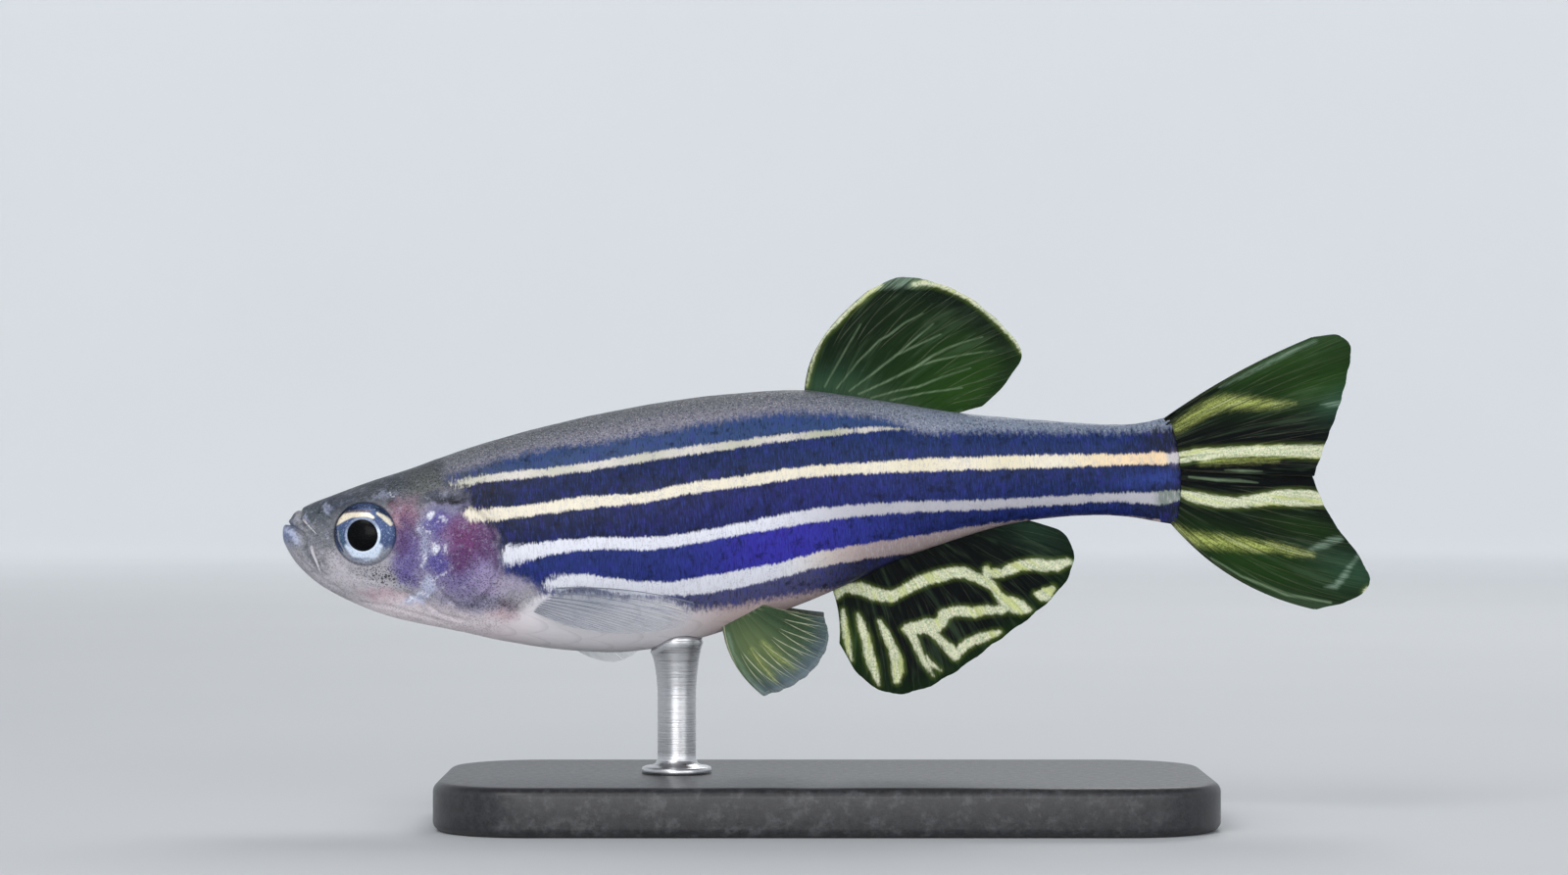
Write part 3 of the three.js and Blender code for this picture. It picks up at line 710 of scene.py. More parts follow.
@dataclass(frozen=True)
class Markings:
    """The pattern of the body: stripes, the light back, the belly, and the tints of every zone."""

    stripes: tuple[Stripe, ...] = (
        Stripe(((7.25, 1.62, 0.06), (8, 1.68, 0.13), (8.8, 1.75, 0.15), (11.2, 1.81, 0.17),
               (13.7, 1.98, 0.16), (16.2, 2.19, 0.17), (18.6, 2.36, 0.15), (21.1, 2.51, 0.14),
               (23.5, 2.59, 0.11), (25.2, 2.6, 0.06), (26.6, 2.45, -0.05))),
        Stripe(((7.85, 0.36, 0.16), (8.3, 0.27, 0.24), (8.9, 0.25, 0.27), (10.3, 0.29, 0.22),
               (12.8, 0.46, 0.24), (15.2, 0.48, 0.2), (16.9, 0.71, 0.22), (19.3, 0.86, 0.22),
               (21.8, 1.05, 0.22), (24.2, 1.03, 0.22), (26.7, 0.98, 0.26), (29.1, 0.88, 0.26),
               (32.4, 0.73, 0.26), (35.6, 0.57, 0.22), (36.4, 0.54, 0.26), (36.9, 0.5, 0.22),
               (37.4, 0.5, 0.2))),
        Stripe(((9.4, -1.5, 0.42), (10.2, -1.4, 0.34), (11.8, -1.25, 0.26), (13.5, -1.26, 0.24),
               (15.1, -1.4, 0.26), (16.7, -1.34, 0.24), (19.2, -1.07, 0.24), (21.6, -0.8, 0.28),
               (24.1, -0.69, 0.24), (26.5, -0.73, 0.22), (29, -0.84, 0.2), (32.2, -0.9, 0.18),
               (34.7, -0.95, 0.18), (36.3, -1.12, 0.26), (36.9, -1.1, 0.28), (37.3, -1.05, 0.2))),
        Stripe(((10.85, -2.78, 0.2), (11.7, -2.74, 0.28), (12.5, -2.73, 0.26), (14.1, -3.13, 0.31),
               (15.8, -3.31, 0.28), (17.4, -3.28, 0.35), (19, -3.12, 0.35), (20.7, -2.87, 0.31),
               (22.3, -2.58, 0.31), (24, -2.42, 0.31), (26.4, -2.27, 0.35), (28.9, -2.02, 0.33),
               (31, -1.8, 0.18), (33, -1.72, 0.11), (35, -1.86, 0.09), (36.4, -2.1, 0.07))),)
    back_edge: Curve = Curve(((7.2, 2.01), (8.8, 2.38), (11.3, 2.77), (13.8, 2.92), (16.2, 3.18),
        (18.7, 3.41), (21.1, 3.56), (23.6, 3.3), (25.2, 3.02), (26.8, 2.34), (29.2, 2.2), (32.4, 1.92),
        (35.7, 1.73), (37.4, 1.8)), root=False)
    belly_edge: Curve = Curve(((7, -3.3), (9, -3.3), (10.8, -3.2), (14, -3.55), (15.8, -3.75),
        (16.7, -4.25), (18.1, -4.3), (19.8, -4.13), (21.4, -4), (22.4, -3.95), (23.3, -4), (25.5, -3.3),
        (28.5, -2.8), (31, -2.4), (34, -2.3), (37.4, -2.9)), root=False)
    head_end: Path = ((6.7, 6), (6.95, 2.3), (7.2, 1.6), (7.75, 1.25), (7.95, 0.9), (7.8, 0.5), (8.3, 0.12),
        (8.8, -0.2), (9.05, -0.7), (9.12, -1.1), (9.2, -1.9), (9.5, -2.35), (10.3, -2.7), (10.5, -3.2),
        (9.9, -3.7), (9.4, -4.2), (8.2, -4.9), (7.8, -7))
    # Laid over each other in order: skull, snout and nostril; jaws and lips; chin and throat; the cheek,
    # rosy above, purple in the middle and violet below; the opercle; the skin behind and below it; the dark
    # streak over it; and bright flecks.
    head_patches: tuple[Patch, ...] = (
        Patch((3.2, 1.5), (3.4, 0.75), 1, 14, Tint.SKULL),
        Patch((2.5, 1.15), (0.8, 0.3), 0.8, 20, Tint.SKULL_DARK),
        Patch((1.35, 0.8), (0.7, 0.4), 0.9, 30, Tint.SNOUT),
        Patch((2, 0.98), (0.2, 0.16), 0.55, 0, Tint.ICE, 0.4),
        Patch((1.15, 0.55), (0.07, 0.35), 0.5, 25, Tint.ICE),
        Patch((4.5, 1.3), (0.5, 0.13), 0.35, 10, Tint.ICE),
        Patch((4.82, 1.02), (0.14, 0.34), 0.85, 12, Tint.MELANIN),
        Patch((6.3, 1.75), (0.9, 0.6), 0.9, 10, Tint.NAPE),
        Patch((0.25, 0.1), (0.42, 0.5), 0.9, 0, Tint.JAW_BLUE),
        Patch((0.74, 0.66), (0.14, 0.3), 0.6, 25, Tint.PEARL),
        Patch((0.95, -0.35), (0.6, 0.5), 0.75, -30, Tint.JAW_GREY),
        Patch((0.52, 0.05), (0.5, 0.13), 0.75, -52, Tint.ICE),
        Patch((1.45, -1.2), (0.22, 0.7), 0.7, 35, Tint.SNOUT),
        Patch((1.5, -1.15), (0.07, 0.42), 0.75, 18, Tint.PEARL, 0.3),
        Patch((2.2, -1.15), (0.4, 0.7), 0.7, 20, Tint.CHIN),
        Patch((1.95, -0.1), (0.6, 0.8), 0.7, 0, Tint.SNOUT),
        Patch((2.9, -2.3), (1.5, 0.55), 0.9, -22, Tint.CHIN),
        Patch((4.1, -1.85), (0.75, 0.22), 0.6, 0, Tint.SAND),
        Patch((4.5, -2.95), (1.2, 0.3), 0.7, -18, Tint.ROSE),
        Patch((5.5, -3.6), (2.2, 0.5), 0.85, -14, Tint.THROAT),
        Patch((5.45, -2.95), (0.5, 0.22), 0.8, 25, Tint.ICE),
        Patch((7.8, -4.2), (1.4, 0.5), 0.9, -16, Tint.THROAT),
        Patch((5.35, 0.4), (0.62, 0.75), 1, 0, Tint.CHEEK_ROSE),
        Patch((5.3, -0.35), (0.68, 0.75), 0.95, 0, Tint.CHEEK),
        Patch((5.35, -1.35), (0.66, 0.9), 0.9, 0, Tint.CHEEK_VIOLET),
        Patch((5.1, -0.75), (0.3, 0.5), 0.6, 0, Tint.PLUM),
        Patch((5.15, -2.05), (0.5, 0.3), 0.7, -20, Tint.CHEEK_VIOLET),
        Patch((5, 0.2), (0.2, 0.3), 0.5, 0, Tint.ROSE), Patch((7.5, -1.3), (1.75, 2), 1, 8, Tint.OPERCLE),
        Patch((6.02, -0.7), (0.2, 1), 0.5, 0, Tint.ICE),
        Patch((6.65, 0.15), (0.5, 0.55), 0.85, 0, Tint.BLUE_VIOLET),
        Patch((6.5, -1.55), (0.42, 0.55), 0.9, 20, Tint.BLUE_VIOLET),
        Patch((7.1, -0.75), (0.25, 0.35), 0.5, 0, Tint.LILAC),
        Patch((7.95, -0.5), (0.95, 0.95), 0.95, 12, Tint.MAGENTA),
        Patch((7.5, -1.35), (0.5, 0.5), 0.7, 20, Tint.MAGENTA),
        Patch((7.5, -1.55), (0.5, 0.55), 0.8, 20, Tint.PLUM),
        Patch((8.6, -0.8), (0.4, 0.8), 0.75, 14, Tint.PLUM),
        Patch((7.2, 0.75), (0.9, 0.3), 0.8, 5, Tint.SLATE),
        Patch((8.35, -2.2), (0.5, 0.5), 0.5, 0, Tint.LILAC),
        Patch((8.75, -2.75), (0.5, 0.4), 0.75, 0, Tint.LILAC),
        Patch((8.93, -1.5), (0.12, 0.9), 0.6, 4, Tint.PLUM),
        Patch((6.1, -2.5), (0.35, 0.3), 0.7, 30, Tint.ICE),
        Patch((9.8, -2.75), (0.9, 0.5), 0.9, -10, Tint.SAND),
        Patch((9.6, -2.5), (0.6, 0.5), 0.45, -10, Tint.LILAC),
        Patch((9.45, -1.9), (0.3, 0.4), 0.7, 0, Tint.SLATE),
        Patch((8.1, -3.42), (1.15, 0.3), 0.6, -4, Tint.SLATE),
        Patch((9.3, -3.5), (0.45, 0.22), 0.8, -8, Tint.SMUDGE),
        Patch((9.3, -4), (0.8, 0.24), 0.6, -10, Tint.ROSE),
        Patch((6.9, 1.08), (1.1, 0.22), 0.85, 3, Tint.SKULL_DARK),
        Patch((7.3, 0.96), (0.95, 0.15), 0.95, 2, Tint.MELANIN),
        Patch((6.4, 0.42), (0.16, 0.1), 0.9, -20, Tint.FLECK, 0.5),
        Patch((6.85, 0.16), (0.14, 0.06), 0.7, -35, Tint.FLECK, 0.5),
        Patch((6.42, -0.92), (0.16, 0.2), 0.95, 10, Tint.FLECK, 0.5),
        Patch((6.88, -1), (0.1, 0.08), 0.6, 0, Tint.FLECK, 0.5),
        Patch((5.95, -1.45), (0.08, 0.3), 0.6, 0, Tint.FLECK, 0.5),
        Patch((6.6, -2.15), (0.5, 0.05), 0.6, 32, Tint.FLECK, 0.5),
        Patch((5.25, -3), (0.3, 0.05), 0.7, 35, Tint.FLECK, 0.5),
        Patch((5.62, -2.8), (0.26, 0.06), 0.7, 20, Tint.FLECK, 0.5),)
    # where the head's fine dark dots and its bright flecks lie thickest
    dotted: tuple[Patch, ...] = (
        Patch((4.35, -2), (1.3, 0.42), 1, -12), Patch((6.2, 1.9), (1.8, 0.8), 0.7, 12),
        Patch((3.4, 1.6), (2.4, 0.5), 0.5, 16), Patch((5.5, -0.6), (0.9, 2.2), 0.6),
        Patch((7.6, -1.6), (1.8, 2.2), 0.55), Patch((8.4, -3.3), (1.6, 0.5), 0.72, -6),
        Patch((1.9, -0.6), (0.9, 1), 0.4),)
    flecked: tuple[Patch, ...] = (
        Patch((6.25, -0.6), (0.5, 1.5), 0.9), Patch((5.7, -2.8), (0.9, 0.6), 0.9, 10),
        Patch((4.6, 1.3), (0.7, 0.25), 0.8, 10), Patch((7.5, -1.4), (1.6, 1.9), 0.2),
        Patch((1.6, -0.3), (0.8, 1.2), 0.4),)

    def zone_values(self, s: Array, h: Array) -> dict[str, Array]:
        """The masks and tints of every point of the skin or of a scale.

        Masks are signed distances in millimetres. Tints are blends of named colours by station and height.

        Args:
            s: stations.
            h: heights.

        Returns:
            One array for each attribute's name.
        """
        pale = np.max([stripe.depth(s, h) for stripe in self.stripes], axis=0)
        path = smooth_path(self.head_end, 80)
        lines = [stripe.height(s) for stripe in self.stripes]
        pale = pale + 0.03 * np.sin(9.0 * s + 1.3) * np.sin(3.7 * s)
        values = {
            "pale": pale + 0.015 * np.sin(23.0 * s + 2.0 * h),
            "back": h - self.back_edge.at(s),
            "belly": self.belly_edge.at(s) - h,
            "head": inside(s, h, ((-3.0, 6.0), *path, (-3.0, -7.0))),
            "band_tint": self.band_tint(s, h, lines),
            "pale_tint": self.pale_tint(s, h, lines),
            "back_tint": self.back_tint(s, h),
            "belly_tint": self.belly_tint(s, h),
            "head_tint": self.head_tint(s, h),
        }
        for key, patches in (("dotted", self.dotted), ("flecked", self.flecked)):
            values[key] = np.max([patch.strength * patch.share(s, h) for patch in patches], axis=0)
        return values

    def band_tint(self, s: Array, h: Array, lines: list[Array]) -> Array:
        """Dark bands between the stripes: steel blue on top, navy and deep blue below, dusk at the belly.

        Args:
            s: stations.
            h: heights.
            lines: heights of the stripes' middles.

        Returns:
            Colours.
        """
        top, second, third, last = (smoothstep(-0.12, 0.12, line - h) for line in lines)
        low = -0.3
        violet = second * (0.2 * bell(s, 22, 7)) + third * (0.15 + 0.75 * bell(s, 20.5, 2.7))
        colour = ground(Tint.STEEL_BLUE, s)
        for tint, share in (
                (Tint.SKULL, (1 - smoothstep(7.2, 10.5, s)) * 0.7),
                (Tint.NAVY, top),
                (Tint.DEEP_BLUE, top * (0.2 + 0.6 * smoothstep(13, 26, s))),
                (Tint.NAVY, second * (0.75 - 0.35 * smoothstep(20, 27, s))),
                (Tint.DEEP_BLUE, third),
                (Tint.MELANIN, top * 0.75 * (1 - smoothstep(8.0, 11.0, s))),
                (Tint.VIOLET, np.clip(violet, 0, 1)),
                (Tint.NAVY, third * 0.5 * smoothstep(24, 27, s)),
                (Tint.DUSK, last * 0.95),
                (Tint.INK, last * 0.75 * smoothstep(21, 24.5, s)),
                (Tint.INK, 0.75 * smoothstep(34.5, 37.0, s) * (1 - bell(h, low, 0.6))),
                (Tint.AZURE, 0.6 * smoothstep(33.5, 36.6, s) * bell(h, low, 0.35)),
                (Tint.FIN_DARK, 0.8 * smoothstep(36.9, 37.35, s)),
                (Tint.LILAC, bell(s, 37.15, 0.14) * bell(h, 0.5, 0.24))):
            colour = blend(colour, tint, share)
        return colour

    def pale_tint(self, s: Array, h: Array, lines: list[Array]) -> Array:
        """Pale stripes: greenish cream above, cream, silver, and silver turning rosy at the belly.

        Args:
            s: stations.
            h: heights.
            lines: heights of the stripes' middles.

        Returns:
            Colours.
        """
        over = [smoothstep(-0.1, 0.1, h - (lines[k] + lines[k + 1]) / 2) for k in range(3)]
        top, second, third, low = over[0], (1 - over[0]) * over[1], (1 - over[1]) * over[2], 1 - over[2]
        wave = 0.5 + 0.5 * np.sin(s * 1.7 + 0.6)
        colour = ground(Tint.CREAM, s)
        for tint, share in (
                (Tint.PEARL, top * 0.5),
                (Tint.GREEN_GOLD, top * (0.25 + 0.35 * smoothstep(18, 26, s)) * wave),
                (Tint.GOLD, second * 0.25 * wave * smoothstep(15, 30, s)),
                (Tint.APRICOT, second * 0.75 * smoothstep(32, 35.8, s)),
                (Tint.PEARL, second * 0.9 * smoothstep(36.8, 36.95, s)),
                (Tint.SILVER, third),
                (Tint.SAND, third * smoothstep(19, 25, s) * 0.75),
                (Tint.FIN_GREY, third * smoothstep(36.1, 36.5, s) * 0.7),
                (Tint.SILVER, low * (1 - smoothstep(20, 24, s))),
                (Tint.BELLY_ROSE, low * smoothstep(21, 24, s) * 0.85),
                (Tint.SMUDGE, low * smoothstep(22, 25, s) * 0.4)):
            colour = blend(colour, tint, share)
        return colour

    def back_tint(self, s: Array, h: Array) -> Array:
        """The light back: grey by the head, olive grey on top and bluer towards the tail.

        Args:
            s: stations.
            h: heights.

        Returns:
            Colours.
        """
        top = smoothstep(-1.2, -0.1, h - BODY.back.at(s))
        colour = blend(ground(Tint.BACK_GREY, s), Tint.BACK_OLIVE, top * 0.8)
        return blend(colour, Tint.BACK_BLUE, smoothstep(20, 30, s) * 0.75)

    def belly_tint(self, s: Array, h: Array) -> Array:
        """The belly: silver, paler at the throat, rosy behind, and bluer under the pectoral fin.

        Args:
            s: stations.
            h: heights.

        Returns:
            Colours.
        """
        colour = blend(ground(Tint.BELLY_SILVER, s), Tint.THROAT, 1 - smoothstep(8, 12, s))
        colour = blend(colour, Tint.BELLY_ROSE, smoothstep(15, 19, s) * 0.95)
        return blend(colour, Tint.FIN_BLUE, 0.35 * bell(s, 13.2, 3.0) * bell(h, -3.6, 0.35))

    def head_tint(self, s: Array, h: Array) -> Array:
        """The head: a ground from pale throat to grey skull, with its soft patches laid over in order.

        The places are moved by up to 0.16 mm by sums of sines first, so that the patches get uneven borders.

        Args:
            s: stations.
            h: heights.

        Returns:
            Colours.
        """
        colour = blend(ground(Tint.SAND, s), Tint.SKULL, smoothstep(-0.6, 1.3, h - 0.12 * s))
        colour = blend(colour, Tint.THROAT, smoothstep(0.3, 1.2, -2.0 - h - 0.12 * s))
        ds, dh = (sum(a * np.sin(p * h + q * s + r) for a, p, q, r in waves) for waves in (
            ((0.07, 3.1, 1.3, 0), (0.05, 7.3, -4.1, 1), (0.04, 13.7, 9.1, 2), (0.03, 25, -19, 3)),
            ((0.07, 1.7, 3.3, 0.5), (0.05, -4.9, 8.1, 1.5), (0.04, 10.1, 14.3, 2.5), (0.03, -21, 23, 4))))
        for patch in self.head_patches:
            colour = blend(colour, patch.tint, patch.strength * patch.share(s + ds, h + dh))
        return colour


MARKS = Markings()


@dataclass(frozen=True)
class SkinSurface:
    """The skin with all its relief, as a function of station and angle."""

    relief: HeadRelief = HeadRelief()
    head_inset: float = 0.02
    coat_depth: float = 0.035
    socket_depth: float = 0.75

    def place(self, s: Array, angle: Array) -> Array:
        """The body's point, moved along the section's outward direction by the relief.

        The outward direction is the cross product of the body's steps along s and along the angle. Round the
        eye the skin runs into the plane of the eye's rim, and inside the rim it drops into the socket.

        Args:
            s: stations.
            angle: angles, of the same shape.

        Returns:
            Array of s, y, h.
        """
        step = 1e-3
        point = BODY.point(s, angle)
        along = BODY.point(np.minimum(s + step, BODY.length), angle)
        along = along - BODY.point(np.maximum(s - step, 1e-4), angle)
        out = unit(np.cross(along, BODY.point(s, angle + step) - BODY.point(s, angle - step)))
        half, h = np.abs(point[..., 1]), point[..., 2]
        on_head = smoothstep(-0.1, 0.1, GILL.edge(s, h))
        lift = self.relief.lift(s, h) * smoothstep(0.0, 0.12, s)
        lift += GILL.lift(s, h) * smoothstep(0.35, 1.0, half)
        lift += (self.coat_depth - self.head_inset) * on_head - self.coat_depth
        point = point + out * lift[..., None]
        side = np.where(np.sin(angle) < 0, -1.0, 1.0)
        away = np.hypot(s - EYE.at[0], h - EYE.at[1])
        near = (s > 1.2) & (s < 6) & (half > 0.3)
        rim = EYE.rim_y(s) + 0.07 * bell(away, EYE.radius + 0.1, 0.12)
        ring = 1 - smoothstep(EYE.radius + 0.04, EYE.radius + 0.7, away)
        point[..., 1] += (side * rim - point[..., 1]) * ring * 0.92 * near
        hole = 1 - smoothstep(EYE.radius - 0.16, EYE.radius + 0.03, away)
        point[..., 1] -= side * hole * near * self.socket_depth
        return point

    def lifted(self, s: Array, angle: Array, lift: Array) -> Array:
        """Points at a height over the skin, along its own normal.

        Args:
            s: stations.
            angle: angles.
            lift: heights over the skin.

        Returns:
            Array of s, y, h.
        """
        step = 0.02
        along = self.place(s + step, angle) - self.place(s - step, angle)
        around = self.place(s, angle + step / 2) - self.place(s, angle - step / 2)
        return self.place(s, angle) + unit(np.cross(along, around)) * lift[..., None]


SKIN = SkinSurface()


@dataclass
class FleshSkin:
    """The one skin of head, gill covers, trunk and tail stalk."""

    nose_rows: int = 24
    head_rows: int = 170
    trunk_rows: int = 200
    columns: int = 240
    nose_end: float = 0.6
    head_end: float = 9.4

    def stations(self) -> Array:
        """Stations of the rows: crowded at the nose, even on the head, and wider apart on the trunk.

        Returns:
            One station a row.
        """
        nose = self.nose_end * np.linspace(0.06, 1, self.nose_rows) ** 1.8
        head = np.linspace(self.nose_end, self.head_end, self.head_rows + 1)[1:]
        trunk = np.linspace(self.head_end, BODY.length, self.trunk_rows + 1)[1:]
        return np.concatenate([nose, head, trunk])

    def unwrap(self, block: Array, rows: int) -> Array:
        """UV of each corner of the skin's faces: its row and column as shares, with no jump at the back.

        Args:
            block: rows of point numbers.
            rows: number of rows of the grid.

        Returns:
            Two numbers for each corner.
        """
        row, column = np.divmod(block, self.columns)
        pole = block >= rows * self.columns
        spread = np.where(pole, column[:, :1], column)
        wraps = (spread.max(axis=1) - spread.min(axis=1) > self.columns / 2)[:, None]
        column = np.where(wraps & (spread == 0), self.columns, spread)
        row = np.where(pole, np.where(block == rows * self.columns, 0, rows), row + 0.5)
        return np.stack([row / rows, column / self.columns], axis=-1)

    def build(self) -> bpy.types.Object:
        """A grid of rows by stations and columns by angle, closed by a pole at each end.

        Returns:
            The skin object, which replaces the flesh nodes.
        """
        angle = np.linspace(0, 2 * math.pi, self.columns, endpoint=False)
        points = SKIN.place(*np.meshgrid(self.stations(), angle, indexing="ij"))
        nose = points[0].mean(axis=0) - np.array([0.02, 0, 0])
        end = points[-1].mean(axis=0) + np.array([0.04, 0, 0])
        flat, blocks = capped(points, nose, end)
        uv = [self.unwrap(block, len(points)) for block in blocks]
        parts = MeshParts().add(flat, blocks, uv, **MARKS.zone_values(flat[:, 0], flat[:, 2]))
        skin = parts.build("skin")
        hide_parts("head", "lower_jaw", "gill_cover_left", "gill_cover_right", "trunk", "tail_stalk")
        return skin


@dataclass
class ScaleCoat:
    """The overlapping scales: small curved plates in staggered columns from the gill slit to the tail."""

    columns: int = 31
    rows: int = 20
    first: float = 7.0
    last: float = 37.1
    narrowing: float = 0.8
    along: int = 8
    across: int = 9
    length_share: float = 1.62
    width_share: float = 1.1
    lift: float = 0.02

    def roots(self) -> Array:
        """Middles of the scales, and the pitch of their columns.

        The pitch shrinks evenly from head to tail, and every second column is turned by half a row. Scales
        whose roots lie on the head are left out.

        Returns:
            Rows of station, angle and pitch.
        """
        share = np.linspace(0, 1, self.columns)
        share = share * (1 + self.narrowing / 2) - self.narrowing / 2 * share**2
        station = self.first + (self.last - self.first) * share
        turn = np.arange(self.rows)[None, :] + 0.5 * (np.arange(self.columns) % 2)[:, None]
        turn = turn * 2 * math.pi / self.rows
        roots = np.stack([np.repeat(station, self.rows), turn.reshape(-1),
                          np.repeat(np.gradient(station), self.rows)], axis=1)
        height = BODY.point(roots[:, 0], roots[:, 1])[:, 2]
        return roots[(GILL.edge(roots[:, 0] - 0.45, height) < 0) & (roots[:, 0] < 37.2)]

    def build(self) -> bpy.types.Object:
        """Every scale as a small grid with a rounded free edge, lifted towards it, and its rim turned down.

        Along a scale u runs from the root to the free edge and v from side to side. The free edge is bent by
        0.4 v^2, and the lift grows with u and falls by a third at the rim, just over the next scale.

        Returns:
            The coat object.
        """
        s, angle, pitch = self.roots().T[:, :, None, None]
        row = 2 * math.pi / self.rows
        share = np.linspace(0, 1, self.along) ** 0.85
        u, v = np.meshgrid(share, np.linspace(-1, 1, self.across), indexing="ij")
        wide = 0.75 + 0.25 * smoothstep(0, 0.3, u) - 0.12 * u**4
        rng = np.random.default_rng(11)
        wobble = rng.uniform(0.92, 1.08, (len(s), 1, 1))
        station = s + pitch * self.length_share * (u * (1 - 0.4 * v**2) - 0.5)
        turn = angle + row / 2 * self.width_share * v * wide * wobble
        station = np.clip(station, 0.3, BODY.length - 0.02)
        rise = (0.006 + self.lift * u**0.9 * (1 - 0.35 * v**2)) * (1 - 0.33 * smoothstep(0.8, 1.0, u))
        low = BODY.point(s, angle)[..., 2] - MARKS.belly_edge.at(s)
        thin = (1 - 0.5 * smoothstep(30, 37, s)) * (1 - 0.5 * smoothstep(0.4, 0.0, low))
        flat = SKIN.lifted(station, turn, rise * thin).reshape(-1, 3)
        count = self.along * self.across
        faces = grid_faces(self.along, self.across, wrap=False)
        every = (faces[None] + np.arange(len(s))[:, None, None] * count).reshape(-1, 4)
        corner_u = (s + 0.9 * pitch * (u.reshape(-1)[faces] - 0.5)) / BODY.length
        corner_v = angle / (2 * math.pi) % 1 + 0.9 / self.rows * v.reshape(-1)[faces] / 2
        uv = np.stack([0.02 + 0.94 * corner_u, 0.03 + 0.94 * corner_v], axis=-1).reshape(-1, 4, 2)
        values = MARKS.zone_values(flat[:, 0], flat[:, 2])
        values["rim"] = np.broadcast_to(u, station.shape).reshape(-1)
        coat = MeshParts().add(flat, [every], [uv], **values).build("scales")
        log.info("scales: %d plates", len(s))
        return coat


@dataclass(frozen=True)
class EyeMark:
    """A soft line on the iris, drawn by points (back, up, half width) from the eye's middle."""

    tint: Tint
    strength: float
    soft: float
    path: Path

    def share(self, back: Array, up: Array) -> Array:
        """Strength inside the line, falling to 0 over its soft edge."""
        distance, half = line_distance(back, up, self.path)
        return self.strength * smoothstep(-self.soft, self.soft, half - distance)


